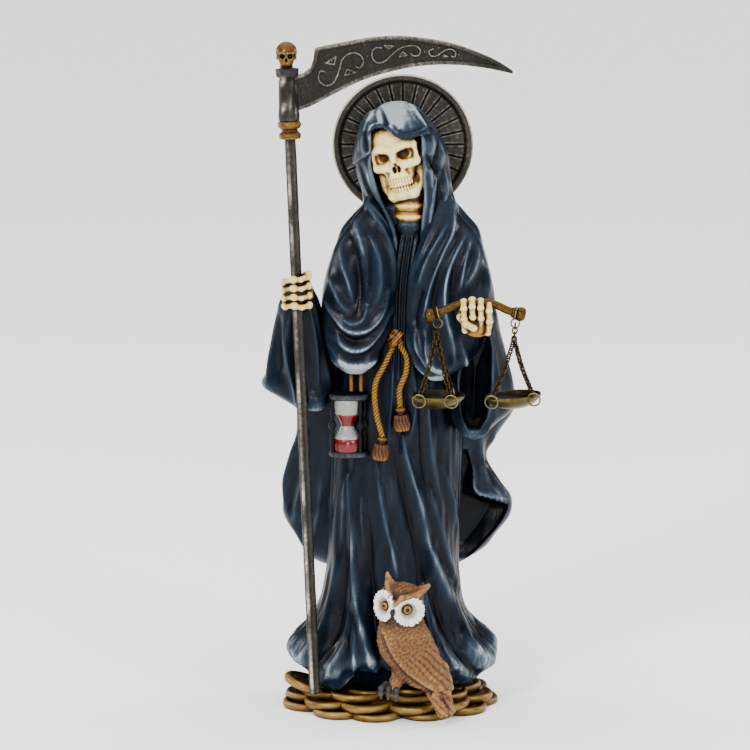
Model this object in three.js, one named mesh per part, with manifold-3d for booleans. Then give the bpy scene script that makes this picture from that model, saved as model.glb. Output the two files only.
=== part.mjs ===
// Santa muerte figure: a hooded skeleton in a long robe, with scythe, scales, hourglass, halo and owl.
// Millimetres, +Z up, front towards -Y, origin at the middle of the flat underside of the coins.
import * as THREE from 'three';
import { ParametricGeometry } from 'three/addons/geometries/ParametricGeometry.js';
import { mergeVertices } from 'three/addons/utils/BufferGeometryUtils.js';
import Module from 'manifold-3d';

const wasm = await Module();
wasm.setup();

// Driving dimensions
const FIGURE_HEIGHT = 271.4;
const BASE_WIDTH = 100;
const BASE_DEPTH = 77;
const BASE_HEIGHT = 10.5;
const COIN_RADIUS = 12;
const COIN_THICKNESS = 3;
const SHAFT_RADIUS = 2.4;
const SCYTHE_HEIGHT = 301;
const BLADE_THICKNESS = 3.2;
const BLADE_REACH = 97;
const FINIAL_HEIGHT = 9.4;
const HALO_RADIUS = 31.2;
const HALO_THICKNESS = 2.6;
const HALO_GROOVES = 28;
const BEAM_RADIUS = 1.55;
const BEAM_SPAN = 36;
const WIRE_RADIUS = 0.32;
const LINK_LENGTH = 3.9;
const LINK_WIDTH = 2;
const CHAIN_DROP = 24;
const PAN_RADIUS = 12.1;
const PAN_DEPTH = 5.6;
const PAN_WALL = 0.9;
const CORD_RADIUS = 1.25;
const GLASS_HEIGHT = 26;
const GLASS_WIDTH = 17;
const OWL_HEIGHT = 55;
const FIT_GAP = 0.3;

// The free forms below are drawn for this height of hood, and grow with the figure.
const DRAWN_HEIGHT = 271.4;
const SIZE = FIGURE_HEIGHT / DRAWN_HEIGHT;
const TURN = Math.PI * 2;

const vec = (x, y, z) => new THREE.Vector3(x, y, z);
const spot = (x, y, z) => vec(x * SIZE, y * SIZE, z * SIZE);
const wave = (value, slope) => Math.sin(value * slope);

// Smooth run through rows of numbers, the first number of each row saying where the rest hold.
function runs(rows) {
  const slope = (row, column) => {
    const before = rows[Math.max(row - 1, 0)];
    const after = rows[Math.min(row + 1, rows.length - 1)];
    return (after[column] - before[column]) / (after[0] - before[0]);
  };
  return (at) => {
    const place = Math.min(Math.max(at, rows[0][0]), rows.at(-1)[0]);
    let low = 0;
    while (low < rows.length - 2 && rows[low + 1][0] < place) low += 1;
    const span = rows[low + 1][0] - rows[low][0];
    const t = (place - rows[low][0]) / span;
    const blend = t * t * (3 - 2 * t);
    return rows[low].slice(1).map((value, index) => {
      const column = index + 1;
      const rise = rows[low + 1][column] - value;
      const bend = slope(low, column) * span * t * (1 - t) ** 2
        - slope(low + 1, column) * span * t * t * (1 - t);
      return value + rise * blend + bend;
    });
  };
}

// Solid of any closed three.js geometry, its shared corners merged and its faces turned outwards.
function solid(geometry, matrix = new THREE.Matrix4()) {
  const bare = geometry.clone().applyMatrix4(matrix);
  for (const name of Object.keys(bare.attributes)) {
    if (name !== 'position') bare.deleteAttribute(name);
  }
  const merged = mergeVertices(bare, 1e-4);
  const corners = Array.from(merged.index.array);
  const kept = [];
  for (let first = 0; first < corners.length; first += 3) {
    const [a, b, c] = corners.slice(first, first + 3);
    if (a !== b && b !== c && a !== c) kept.push(a, b, c);
  }
  const build = (triVerts) => new wasm.Manifold(new wasm.Mesh({
    numProp: 3,
    vertProperties: new Float32Array(merged.attributes.position.array),
    triVerts: new Uint32Array(triVerts),
  }));
  const made = build(kept);
  return made.volume() >= 0 ? made : build(kept.reverse());
}

const fuse = (...parts) => parts.reduce((whole, part) => whole.add(part));

// The casting proper: its outermost skin, filled solid, without crumbs that a cut leaves loose.
function casting(shape) {
  const larger = (most, part) => (part.volume() > most.volume() ? part : most);
  return shape.decompose().reduce(larger);
}

// Closed skin through rings of points, each end closed by a fan to the ring's middle.
function skin(rings) {
  const around = rings[0].length;
  const middle = (ring) => ring.reduce((sum, point) => sum.add(point), vec(0, 0, 0)).divideScalar(around);
  const levels = [Array(around).fill(middle(rings[0])), ...rings, Array(around).fill(middle(rings.at(-1)))];
  const point = (u, v, target) => {
    const row = levels[Math.round(v * (levels.length - 1))];
    target.copy(row[Math.round(u * around) % around]);
  };
  return solid(new ParametricGeometry(point, around, levels.length - 1));
}

// Oval section: way 0 to 1 runs along the front from left to right, 1 to 2 back round behind.
function oval([left, right, front, back], z, way, power = 2.3, proud = 0) {
  const angle = Math.PI * (1 + way);
  const round = (value) => Math.sign(value) * Math.abs(value) ** (2 / power);
  const across = round(Math.cos(angle));
  const deep = round(Math.sin(angle));
  const middle = back - (back - front) * 0.45;
  const reach = deep < 0 ? middle - front : back - middle;
  const out = vec(Math.cos(angle), Math.sin(angle), 0).multiplyScalar(proud);
  return spot((left + right) / 2 + (right - left) / 2 * across, middle + reach * deep, z).add(out);
}

// Upright form whose edges run through rows of height, left, right, front and back.
function draped(rows, around, levels, fold = () => 0, power = 2.3) {
  const edges = runs(rows);
  const bottom = rows[0][0];
  const top = rows.at(-1)[0];
  const rings = [];
  for (let level = 0; level <= levels; level += 1) {
    const z = bottom + (top - bottom) * level / levels;
    const ring = [];
    for (let step = 0; step < around; step += 1) {
      const way = 2 * step / around;
      ring.push(oval(edges(z), z, way, power, fold(way, z)));
    }
    rings.push(ring);
  }
  return skin(rings);
}

// Round bar of few sides along a smooth line.
function bar(points, radius, steps, sides = 6, closed = false) {
  const shape = new THREE.Shape();
  for (let side = 0; side < sides; side += 1) {
    const angle = TURN * (side + 0.5) / sides;
    const x = radius * Math.cos(angle);
    const y = radius * Math.sin(angle);
    if (side) shape.lineTo(x, y);
    else shape.moveTo(x, y);
  }
  shape.closePath();
  const extrudePath = new THREE.CatmullRomCurve3(points, closed, 'centripetal');
  return solid(new THREE.ExtrudeGeometry(shape, { steps, extrudePath, curveSegments: 1 }));
}

// Turned form about its own Z axis, stood on a place and leaned to an axis.
function turned(profile, sides, place = vec(0, 0, 0), axis = vec(0, 0, 1)) {
  const points = profile.map(([radius, height]) => new THREE.Vector2(radius, height));
  const upright = new THREE.Matrix4().makeRotationX(Math.PI / 2);
  const lean = new THREE.Quaternion().setFromUnitVectors(vec(0, 0, 1), axis.clone().normalize());
  const stand = new THREE.Matrix4().compose(place, lean, vec(1, 1, 1));
  return solid(new THREE.LatheGeometry(points, sides), stand.multiply(upright));
}

// Place, with turns about X, Y and Z and a stretch along each.
function placed(place, tip = [0, 0, 0], stretch = vec(1, 1, 1)) {
  const turn = new THREE.Quaternion().setFromEuler(new THREE.Euler(...tip));
  return new THREE.Matrix4().compose(place, turn, stretch);
}

// Ball drawn out to three half sizes, tipped by turns about X, Y and Z.
function ball(place, halves, tip = [0, 0, 0], wide = 12, high = 8) {
  return solid(new THREE.SphereGeometry(1, wide, high), placed(place, tip, vec(...halves)));
}

// Wire ring of few sides about an axis, with its half width and half height.
function ring(place, radii, wire, axis, segments = 8) {
  const turn = new THREE.Quaternion().setFromUnitVectors(vec(0, 0, 1), axis.clone().normalize());
  const matrix = new THREE.Matrix4().compose(place, turn, vec(radii[0], radii[1], (radii[0] + radii[1]) / 2));
  return solid(new THREE.TorusGeometry(1, wire * 2 / (radii[0] + radii[1]), 3, segments), matrix);
}

// Base: two rounds of coins about a plain core, trimmed flat below.
const ROUNDS = [
  { count: 11, lift: 0.34, inset: 0, tilt: 0.05, start: 0.1 },
  { count: 8, lift: 0.68, inset: 4.5, tilt: 0.12, start: 0.42 },
];
const CORE_INSET = 8;

function coinHeap(grow) {
  const reach = [BASE_WIDTH / 2 - COIN_RADIUS, BASE_DEPTH / 2 - COIN_RADIUS];
  const radius = COIN_RADIUS + grow;
  const coin = new THREE.CylinderGeometry(radius, radius, COIN_THICKNESS + 2 * grow, 10).rotateX(Math.PI / 2);
  const core = new THREE.CylinderGeometry(1, 1, 1, 16).rotateX(Math.PI / 2);
  const wide = BASE_WIDTH / 2 - CORE_INSET + grow;
  const deep = BASE_DEPTH / 2 - CORE_INSET + grow;
  const high = BASE_HEIGHT + grow;
  const heap = [solid(core, placed(vec(0, 0, high / 2), [0, 0, 0], vec(wide, deep, high)))];
  for (const { count, lift, inset, tilt, start } of ROUNDS) {
    for (let index = 0; index < count; index += 1) {
      const angle = TURN * (index + start) / count;
      const x = (reach[0] - inset) * Math.cos(angle);
      const y = (reach[1] - inset) * Math.sin(angle);
      const z = BASE_HEIGHT * lift - COIN_THICKNESS / 2 + 0.5 * wave(index, 2.4);
      const forward = -tilt * (Math.sin(angle) + wave(index, 1.9));
      const aside = tilt * (Math.cos(angle) + wave(index, 2.7));
      heap.push(solid(coin, placed(vec(x, y, z), [forward, aside, 0])));
    }
  }
  return fuse(...heap);
}

const floorSize = BASE_WIDTH * 2;
const floorBox = new THREE.BoxGeometry(floorSize, floorSize, floorSize);
const floorBlock = solid(floorBox, placed(vec(0, 0, -BASE_WIDTH)));
const coinBase = coinHeap(0).subtract(floorBlock);
const coinRoom = coinHeap(FIT_GAP);

// Skirt of the robe. Each pleat line says where it runs across the front, as shares of the width from
// left to right at four heights, and how far it stands out.
const SKIRT_TOP = 218;
const SKIRT_FOOT = (BASE_HEIGHT + FIT_GAP) / SIZE;
const SKIRT = runs([
  [9, -40, 42, -25, 28],
  [18, -45.5, 49, -29.5, 33],
  [25, -44, 48.5, -29, 33],
  [34, -37, 40, -27.5, 31],
  [46, -30.5, 34, -26, 29],
  [60, -27.5, 32, -24.5, 27],
  [95, -26.4, 33, -22.5, 25],
  [145, -24, 34, -20.5, 22],
  [190, -18, 34, -18.5, 20],
  [218, 2, 16, -15.5, 12],
]);
const PLEATS = [
  [0, 0, 0, 0, 0],
  [0.07, 0.07, 0.06, 0.1, 2.4],
  [0.12, 0.13, 0.15, 0.17, -1.8],
  [0.17, 0.17, 0.22, 0.24, 1.6],
  [0.22, 0.21, 0.25, 0.28, -0.6],
  [0.26, 0.25, 0.28, 0.33, 2.4],
  [0.34, 0.35, 0.39, 0.42, -2.6],
  [0.4, 0.45, 0.52, 0.58, 2.2],
  [0.48, 0.56, 0.63, 0.67, -1.8],
  [0.58, 0.68, 0.7, 0.75, 1.8],
  [0.68, 0.75, 0.77, 0.84, -2.2],
  [0.78, 0.84, 0.9, 0.93, 2.8],
  [0.9, 0.93, 0.96, 0.97, -1.2],
];
const PLEAT_HEIGHTS = [145, 80, 45, 18];
const BACK_PLEATS = 8;
const HEM_HEIGHT = runs([
  [0, 18],
  [0.1, 19],
  [0.24, 12.5],
  [0.34, 12.5],
  [0.42, 21],
  [0.7, 18],
  [0.8, 12.5],
  [0.92, 14],
  [1, 19],
  [1.3, 13],
  [1.7, 14],
  [2, 18],
]);

function skirtRing(z, hem) {
  const swell = Math.min(Math.max((172 - z) / 120, 0), 1) ** 0.8;
  const level = Math.min(Math.max(z, PLEAT_HEIGHTS.at(-1)), PLEAT_HEIGHTS[0]);
  const lines = PLEATS.map(([high, upper, lower, low, proud]) => {
    const share = runs([[PLEAT_HEIGHTS[3], low], [PLEAT_HEIGHTS[2], lower], [PLEAT_HEIGHTS[1], upper],
      [PLEAT_HEIGHTS[0], high]])(level)[0];
    return [Math.acos(1 - 2 * share) / Math.PI, proud];
  });
  for (let fold = 0; fold <= BACK_PLEATS * 2; fold += 1) {
    lines.push([1 + fold / (BACK_PLEATS * 2 + 1), fold ? (fold % 2 ? -1.7 : 1.7) : 0]);
  }
  return lines.map(([way, proud]) => {
    const height = hem ? HEM_HEIGHT(way)[0] : z;
    return oval(SKIRT(z), height, way, 2.1, proud * swell * SIZE);
  });
}

function skirt() {
  const levels = [30, 42, 58, 84, 120, 160, SKIRT_TOP];
  const foot = skirtRing(18, false).map((point) => vec(point.x * 0.9, point.y * 0.9, SKIRT_FOOT * SIZE));
  const tucked = skirtRing(18, true).map((point) => vec(point.x * 0.93, point.y * 0.93, point.z + 1.5));
  return skin([foot, tucked, skirtRing(18, true), ...levels.map((z) => skirtRing(z, false))]);
}

// Cloak behind, with its wide side and the turned-back fold over the right edge.
const cloak = draped([
  [58, -24, 29, 10, 30],
  [61, -32, 34, 7, 33],
  [67, -38, 43.5, 5, 34],
  [74, -41.5, 49, 3, 34],
  [83, -47.2, 55.5, 2, 34],
  [90, -47.4, 56, 2, 33.5],
  [99, -47, 50, 0, 33],
  [110, -44, 44.5, -2, 32],
  [120, -41, 49, -4, 31],
  [133, -40.5, 57, -5, 30.5],
  [150, -36, 54, -6, 30],
  [175, -29, 47, -8, 29],
  [205, -22, 41, -8, 26.5],
  [220, -12, 33, -6, 21],
], 18, 7, (way, z) => (way > 1 ? 1.5 * SIZE * Math.cos(way * Math.PI * 9 + z * 0.02) : 0), 2.2);
const cloakHollow = draped([
  [50, 30, 52, -20, 12],
  [70, 30, 49, -20, 13],
  [86, 36, 53, -20, 9],
  [90, 38, 50, -20, 2],
], 10, 3);
const cloakFold = draped([
  [88.5, 42, 56.5, -7, 8],
  [92, 36, 55, -10, 8],
  [98, 34, 50, -12, 8],
  [108, 33, 44.5, -12, 8],
  [120, 33, 48, -12, 8],
  [130, 33, 53, -11, 8],
], 12, 4);

// Shoulders under the mantle, and its two hanging lobes with their bowed folds.
const shoulders = draped([
  [160, -25, 48, -14, 24],
  [175, -29.4, 48, -18, 26],
  [193, -27.7, 45.4, -19, 26],
  [206, -23.4, 42.2, -18, 25],
  [215, -20, 39.4, -15, 22],
  [220, -15.9, 35, -13, 19],
  [227, -9, 29, -10, 15],
], 14, 3, (way) => (way > 1 ? 1.3 * SIZE * Math.cos(way * Math.PI * 9) : 0));
const FOLD_PITCH = 11;
const leftLobe = draped([
  [154, -18, -11, -25, -8],
  [157.5, -23, -8, -28, -6],
  [163, -27, -3.5, -29, -4],
  [172, -29.5, 1, -29, -2],
  [185, -28.8, 3, -28, -2],
  [198, -26.4, 3.4, -27, -2],
  [210, -22.6, 2, -24.5, -2],
  [220, -15.5, -0.5, -21, -2],
  [232, -10, -3.5, -18, -2],
], 16, 9, (way, z) => (way < 1 ? bowed(way, z, 0.48, 192) : 0));
const rightLobe = draped([
  [151, 17.5, 25.5, -25, -6],
  [155, 13, 32, -28, -4],
  [163, 9, 40, -29, -2],
  [175, 7.3, 46.5, -28.5, 0],
  [188, 7.8, 46.5, -28, 0],
  [200, 10, 43.5, -27, 0],
  [212, 13.7, 39.5, -24, 0],
  [222, 16.5, 32, -20, 0],
  [232, 17.5, 27, -18, 0],
], 18, 6, (way, z) => (way < 1 ? 2 * SIZE * Math.cos(way * Math.PI * 5 + z * 0.035) : 0));

// Folds bowed round a high point: hanging cloth swags about the place that it is held at.
function bowed(way, z, middle, hung) {
  const across = (way - middle) * 34;
  const down = Math.max(hung - z, 0) * 0.8;
  const away = Math.hypot(across, down);
  const fade = Math.min(away / 9, 1) * Math.sin(Math.PI * way);
  return 2.2 * SIZE * Math.cos(away * TURN / FOLD_PITCH + 1) * fade;
}

// Sleeves: the left one closed round the forearm, the right one open in front below the fist.
const leftSleeve = draped([
  [136.5, -35, -29, -21, -10],
  [139, -43, -26, -23, -2],
  [142, -49, -24.8, -23.5, 2],
  [145.5, -55, -24.6, -23, 4],
  [152, -54, -24.6, -22.5, 4],
  [165, -51.7, -26, -22.5, 4],
  [180, -49, -27, -22.5, 2],
  [186, -46.5, -27.5, -21.5, 0],
  [193, -38, -29, -18, -4],
], 16, 5, (way, z) => (way < 1 ? 1.5 * SIZE * Math.cos(way * Math.PI * 7) * Math.min((196 - z) / 30, 1) : 0));
const leftArm = bar([spot(-39, -15, 179.5), spot(-30, -6, 179), spot(-14, 8, 186)], 9 * SIZE, 3, 7);
const rightSleeve = draped([
  [126, 33, 41, -25, -6],
  [130, 29, 46, -27, 0],
  [136, 27.4, 55, -27.5, 6],
  [145, 27.2, 55.5, -28, 6],
  [160, 29, 52, -29, 6],
  [175, 31, 48.5, -30, 6],
  [188, 31, 47, -29, 4],
  [194, 34, 44, -24, 0],
], 14, 5, (way) => (way > 0.8 ? 1.1 * SIZE * Math.cos(way * Math.PI * 8) : 0));
const sleeveHollow = draped([
  [129.5, 35.5, 39.5, -40, -16],
  [134, 32, 43, -40, -10],
  [148, 31, 45, -40, -8],
  [165, 33, 45, -40, -10],
  [176, 35, 43, -40, -20],
], 8, 3);

// Hood: outer shell, hollow for the face, and the rolled brow.
const hoodOuter = draped([
  [206, -17, 35, -19, 17],
  [214, -13, 33, -19, 16],
  [222, -11, 31.5, -19, 14],
  [231, -11.5, 28.6, -19.5, 13],
  [241, -15.3, 27.1, -20.5, 12.5],
  [248, -15.7, 26.3, -21.5, 12.5],
  [255, -13.8, 23.6, -22.5, 12.5],
  [262, -10.9, 18.7, -22, 11],
  [267, -7.4, 13.8, -17, 8],
  [270, -3.2, 9.8, -10, 4],
  [FIGURE_HEIGHT / SIZE, 1.5, 5.5, -5, 0],
], 18, 8, (way, z) => (way < 1 && z < 250 ? 1.1 * SIZE * Math.cos(way * Math.PI * 8) : 0), 2.2);
const hoodHollow = draped([
  [214, 3, 15, -40, -9],
  [222, 1.6, 16.4, -40, -6],
  [232, -3.4, 17.3, -40, -2],
  [243, -8.4, 17.6, -40, 2],
  [252, -8.6, 16.8, -40, 2],
  [257, -6.6, 15.6, -40, -1],
  [260.5, -3.4, 9, -40, -6],
], 12, 4, undefined, 2.6);
const BROW = [[-9, -15, 257.5], [-3, -19.6, 260.6], [3, -21.4, 259.4], [9, -21.4, 258.2], [17.5, -15, 259.5]];
const brow = bar(BROW.map((point) => spot(...point)), 2.6 * SIZE, 5, 6);

// Skull, leaning towards the left shoulder, on a neck of stacked bones.
const SKULL_LEAN = 0.24;
const skullPlace = spot(4.6, -10.5, 247);

function onSkull(right, front, up) {
  const local = spot(right, -front, up).applyAxisAngle(vec(0, 1, 0), -SKULL_LEAN);
  return local.add(skullPlace);
}

function skullMass(grow) {
  const tip = [0, -SKULL_LEAN, 0];
  const lump = (right, front, up, halves, wide = 10, high = 6) => (
    ball(onSkull(right, front, up), halves.map((half) => half * SIZE + grow), tip, wide, high));
  const bones = [[0, 0], [6, 0], [6, 2.6], [5.1, 3.8], [5.9, 5.4], [5, 7.2], [4.8, 23], [0, 23]];
  const neckRings = bones.map(([radius, height]) => [radius && radius * SIZE + grow, height * SIZE]);
  const head = lump(0, -1, 3.5, [11.4, 11.6, 9.6], 11, 7);
  const neckFoot = spot(9.3, -10.5, 216.5).sub(vec(0, 0, grow));
  const neck = turned(neckRings, 7, neckFoot, vec(-0.06, -0.05, 1));
  if (grow) return fuse(head, neck);
  return fuse(
    head,
    neck,
    lump(0, 3.4, -2.6, [8.8, 7, 6.4], 9, 5),
    lump(-6.6, 5, -4, [3.8, 4, 3], 7, 5),
    lump(6.6, 5, -4, [3.8, 4, 3], 7, 5),
    lump(0, 5, -8, [6.2, 4.8, 5], 8, 5),
    lump(0, 4.6, -13.8, [6.6, 5.2, 4.2], 9, 5),
  );
}

function skullCuts() {
  const tip = [0, -SKULL_LEAN, 0];
  const hollow = (right, front, up, halves, lean = 0) => (
    ball(onSkull(right, front, up), halves.map((half) => half * SIZE), [0, -SKULL_LEAN + lean, 0], 7, 4));
  return fuse(
    hollow(-5, 9.6, 1.2, [3.6, 3.4, 2.7], -0.28),
    hollow(5, 9.6, 1.2, [3.6, 3.4, 2.7], 0.28),
    ball(onSkull(0, 10.6, -4.4), [1.5, 2.6, 2.4].map((half) => half * SIZE), tip, 5, 4),
    hollow(-7.6, 7, -8.8, [1.8, 4, 3]),
    hollow(7.6, 7, -8.8, [1.8, 4, 3]),
  );
}

// The two rows of teeth, each a band bent round the jaw.
function teeth() {
  return [-9.8, -12.2].map((up) => {
    const line = [-1, -0.5, 0, 0.5, 1].map((angle) => (
      onSkull(5.4 * Math.sin(angle), 4.4 + 5 * Math.cos(angle), up)));
    return bar(line, 1.25 * SIZE, 4, 4);
  });
}

const skull = skullMass(0).subtract(skullCuts()).add(fuse(...teeth()));
const skullRoom = skullMass(FIT_GAP);

// Halo: grooved disc with a raised rim, upright behind the hood.
const haloPlace = spot(6.5, 14.5, 250.6);

function haloDisc() {
  const half = HALO_THICKNESS / 2;
  const rim = HALO_RADIUS;
  const field = HALO_RADIUS - 3;
  const sunk = 0.7;
  const groove = 0.7;
  const around = HALO_GROOVES * 2;
  const circle = (radius, height, cut) => Array.from({ length: around }, (_, index) => {
    const angle = TURN * index / around;
    const deep = index % 2 ? cut : 0;
    return vec(radius * Math.cos(angle), -(height - deep), radius * Math.sin(angle)).add(haloPlace);
  });
  return skin([
    circle(9 * SIZE, half - sunk, 0),
    circle(field, half - sunk, groove),
    circle(rim, half, 0),
    circle(rim, -half, 0),
  ]);
}

const roomRadius = HALO_RADIUS + FIT_GAP;
const roomHalf = HALO_THICKNESS / 2 + FIT_GAP;
const roomProfile = [[0, -roomHalf], [roomRadius, -roomHalf], [roomRadius, roomHalf], [0, roomHalf]];
const haloRoom = turned(roomProfile, HALO_GROOVES, haloPlace, vec(0, 1, 0));

// Hands: a palm, four fingers bent round what the fist holds, and a thumb.
const SHAFT_FOOT = vec(-32.4 * SIZE, -26, BASE_HEIGHT + FIT_GAP);
const grip = spot(-39.7, -27.5, 191);
const shaftAxis = grip.clone().sub(SHAFT_FOOT).normalize();
const beamMiddle = spot(37.4, -45, 187.6);
const fingerRoom = FIT_GAP + 1.75 * SIZE;

function onShaft(height) {
  return SHAFT_FOOT.clone().addScaledVector(shaftAxis, (height - SHAFT_FOOT.z) / shaftAxis.z);
}
function leftHand() {
  const away = SHAFT_RADIUS + fingerRoom;
  const fingers = [0, 1, 2, 3].map((index) => {
    const middle = onShaft(grip.z + (6.2 - index * 4.15) * SIZE);
    const at = (right, front, up = 0) => middle.clone().add(vec(right, -front, up * SIZE));
    const line = [
      at(-away - 1.2, -4, 0.3),
      at(-away - 0.9, 0),
      at(-away * 0.55, away - 0.2),
      at(away * 0.6, away),
      at(away + 1.4, 0.6, 0.3),
      at(away + 0.8, -3, 0.4),
    ];
    return bar(line, 2 * SIZE, 4, 4);
  });
  const palmSizes = [6.2, 3.4, 8].map((half) => half * SIZE);
  const palm = ball(onShaft(grip.z).add(vec(0, away + 0.6, 0)), palmSizes, [0, 0, 0], 7, 5);
  const thumbLine = [[3, away, 6], [5.4, 1, 7.4], [7.2, -1.4, 8.4]].map(([right, deep, up]) => (
    onShaft(grip.z + up * SIZE).add(vec(right, deep, 0))));
  return fuse(palm, bar(thumbLine, 1.3 * SIZE, 2, 4), ...fingers);
}

function rightHand() {
  const away = BEAM_RADIUS + fingerRoom;
  const fingers = [0, 1, 2, 3].map((index) => {
    const middle = beamMiddle.clone().add(spot((index - 1.5) * 3.75, 0, -0.25 * (index - 1.5) ** 2));
    const at = (front, up) => middle.clone().add(vec(0, -front, up));
    const long = (index === 0 || index === 3 ? 11.5 : 13) * SIZE;
    const line = [
      at(-away - 2, 0.4),
      at(-0.4, away - 0.9),
      at(away, 0.6),
      at(away + 0.6, -3.4),
      at(away + 0.2, -long * 0.65),
      at(away - 3.6, -long),
    ];
    return bar(line, 2 * SIZE, 4, 4);
  });
  const behind = (deep, up) => beamMiddle.clone().add(vec(0, away + deep, up * SIZE));
  const palmSizes = [7.2, 3.6, 7.6].map((half) => half * SIZE);
  const palm = ball(behind(0.8, -6.6), palmSizes, [0, 0, 0], 7, 5);
  const wrist = bar([behind(1, -5.5), spot(38, -30, 180), spot(39, -14, 180)], 4.4 * SIZE, 2, 6);
  return fuse(palm, wrist, ...fingers);
}

// Rope belt: a knot, and two cords that end in tassels.
const knotPlace = spot(3.4, -20, 169);
const CORDS = [
  {
    points: [[2.6, -21.6, 166.5], [-1.4, -23.6, 158], [-5.4, -24.4, 150], [-5.3, -25.2, 137],
      [-2.6, -25, 126]],
    sway: -0.12,
  },
  {
    points: [[4.6, -21.6, 167], [8.2, -23.4, 160], [7.6, -24.2, 154], [5, -24.8, 147], [5.2, -24.8, 139]],
    sway: 0.1,
  },
];

function rope() {
  const loop = [2.3, 2.3, 2.6].map((half) => half * SIZE);
  const parts = [
    ball(knotPlace.clone().add(spot(-1.9, -0.6, 0)), loop, [0, 0.4, 0], 6, 4),
    ball(knotPlace.clone().add(spot(2, -0.6, 0.4)), loop, [0, -0.4, 0], 6, 4),
  ];
  const tassel = [[0, -10.4], [3.4, -10], [3, -4], [1.9, -1.2], [2.2, 0.6], [0, 1.4]];
  for (const { points, sway } of CORDS) {
    const line = points.map((point) => spot(...point));
    const profile = tassel.map(([radius, height]) => [radius * SIZE, height * SIZE]);
    parts.push(bar(line, CORD_RADIUS, 6, 4));
    parts.push(turned(profile, 6, line.at(-1), vec(sway, 0.06, 1)));
  }
  return fuse(...parts);
}

// Hourglass: two plates, twin bulbs between twisted posts, hung by two thin cords.
const glassPlace = spot(-17.3, -20, 130.5);

function hourglass() {
  const half = GLASS_HEIGHT / 2;
  const wide = GLASS_WIDTH / 2;
  const level = (side) => glassPlace.clone().add(vec(0, 0, side * (half - 1)));
  const plate = (side) => turned([[0, -1], [wide, -1], [wide, 1], [0, 1]], 9, level(side));
  const bulbs = [[0, -1], [0.64, -1], [0.66, -0.45], [0.44, 0], [0.66, 0.45], [0.64, 1], [0, 1]];
  const bulb = turned(bulbs.map(([radius, height]) => [radius * wide, height * (half - 1)]), 7, glassPlace);
  const posts = [-2.7, -0.75, 0.5].map((angle) => {
    const out = vec(wide * 0.8 * Math.cos(angle), wide * 0.8 * Math.sin(angle), 0);
    const post = [[0, 1 - half], [1.2, 1 - half], [0.9, 0], [1.2, half - 1], [0, half - 1]];
    return turned(post, 4, glassPlace.clone().add(out));
  });
  const strings = [-4.1, 0.2].map((aside) => {
    const line = [[-19, 141], [-18.6, 148], [-18, 158]].map(([y, z]) => spot(-17.3 + aside, y, z));
    return bar(line, CORD_RADIUS * 0.5, 2, 4);
  });
  return fuse(plate(-1), plate(1), bulb, ...posts, ...strings);
}

// Owl, turned a little towards the right, its tail hanging over the coins' front edge.
const owlPlace = spot(9.5, -31.5, 10);
const OWL_SIZE = OWL_HEIGHT / 55;
const owlSpot = (x, y, z) => vec(x, y, z).multiplyScalar(OWL_SIZE).add(owlPlace);

function owlMass(grow) {
  const rows = [
    [4, 0, 13, -7, 2],
    [8, -4.5, 14.5, -8.5, 5],
    [16, -10, 15, -9.5, 6.5],
    [24, -13.4, 13, -9.5, 7],
    [31, -13.6, 10.4, -8.5, 7],
    [37, -12.6, 8.2, -8.5, 6.5],
    [43, -12.8, 8, -9, 6],
    [48, -10.6, 8.4, -8.4, 5],
    [51.5, -6.5, 6.5, -6, 3],
  ];
  const edges = runs(rows);
  const rings = [];
  for (let level = 0; level <= 8; level += 1) {
    const z = 4 + (51.5 - 4) * level / 8;
    const [left, right, front, back] = edges(z);
    rings.push(Array.from({ length: 12 }, (_, step) => {
      const angle = TURN * step / 12;
      const x = (left + right) / 2 + ((right - left) / 2 * OWL_SIZE + grow) * Math.cos(angle) / OWL_SIZE;
      const y = (front + back) / 2 + ((back - front) / 2 * OWL_SIZE + grow) * Math.sin(angle) / OWL_SIZE;
      return owlSpot(x, y, z);
    }));
  }
  const tail = skin([0, 0.5, 1].map((share) => {
    const wide = (4.2 + share * 1.6) * OWL_SIZE + grow;
    const thick = (3.4 - share * 1.7) * OWL_SIZE + grow;
    const middle = owlSpot(9 + share * 7, -6.6 - share * 3.4, 14 - share * 20.5);
    return Array.from({ length: 8 }, (_, step) => {
      const angle = TURN * step / 8;
      return middle.clone().add(vec(wide * Math.cos(angle), thick * Math.sin(angle), 0));
    });
  }));
  return fuse(skin(rings), tail);
}

function owlTrim() {
  const half = (...sizes) => sizes.map((size) => size * OWL_SIZE);
  const wing = ball(owlSpot(9.5, -4.5, 20), half(5.4, 5.6, 15), [0.16, -0.42, 0], 7, 5);
  const toes = [-8.5, -5, -1.5].map((x) => {
    const line = [[x + 2.4, -3, 8], [x + 0.6, -8, 5], [x - 0.3, -9.6, 1.4]].map((point) => owlSpot(...point));
    return bar(line, 1.3 * OWL_SIZE, 2, 4);
  });
  return fuse(
    ball(owlSpot(-9, -4, 50.6), half(2.4, 2.2, 5.6), [0, -0.15, 0], 5, 4),
    ball(owlSpot(5, -4, 49), half(2.2, 2.2, 6.2), [0, 1.2, 0], 5, 4),
    ball(owlSpot(-9.6, -7, 42.4), half(4.4, 2.6, 6.8), [0, 0.1, -0.5], 8, 4),
    ball(owlSpot(-0.4, -8.6, 40.4), half(6.4, 2.4, 6.6), [0, 0.1, 0.1], 8, 4),
    ball(owlSpot(-9.4, -8.6, 42.6), half(1.9, 1.9, 1.9), [0, 0, 0], 5, 3),
    ball(owlSpot(-0.4, -10.4, 41.2), half(2.2, 1.7, 2.2), [0, 0, 0], 5, 3),
    ball(owlSpot(-6.2, -9.8, 38.4), half(1.2, 1.8, 2.2), [0.3, 0, 0], 5, 3),
    wing,
    ...toes,
  );
}

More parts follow.
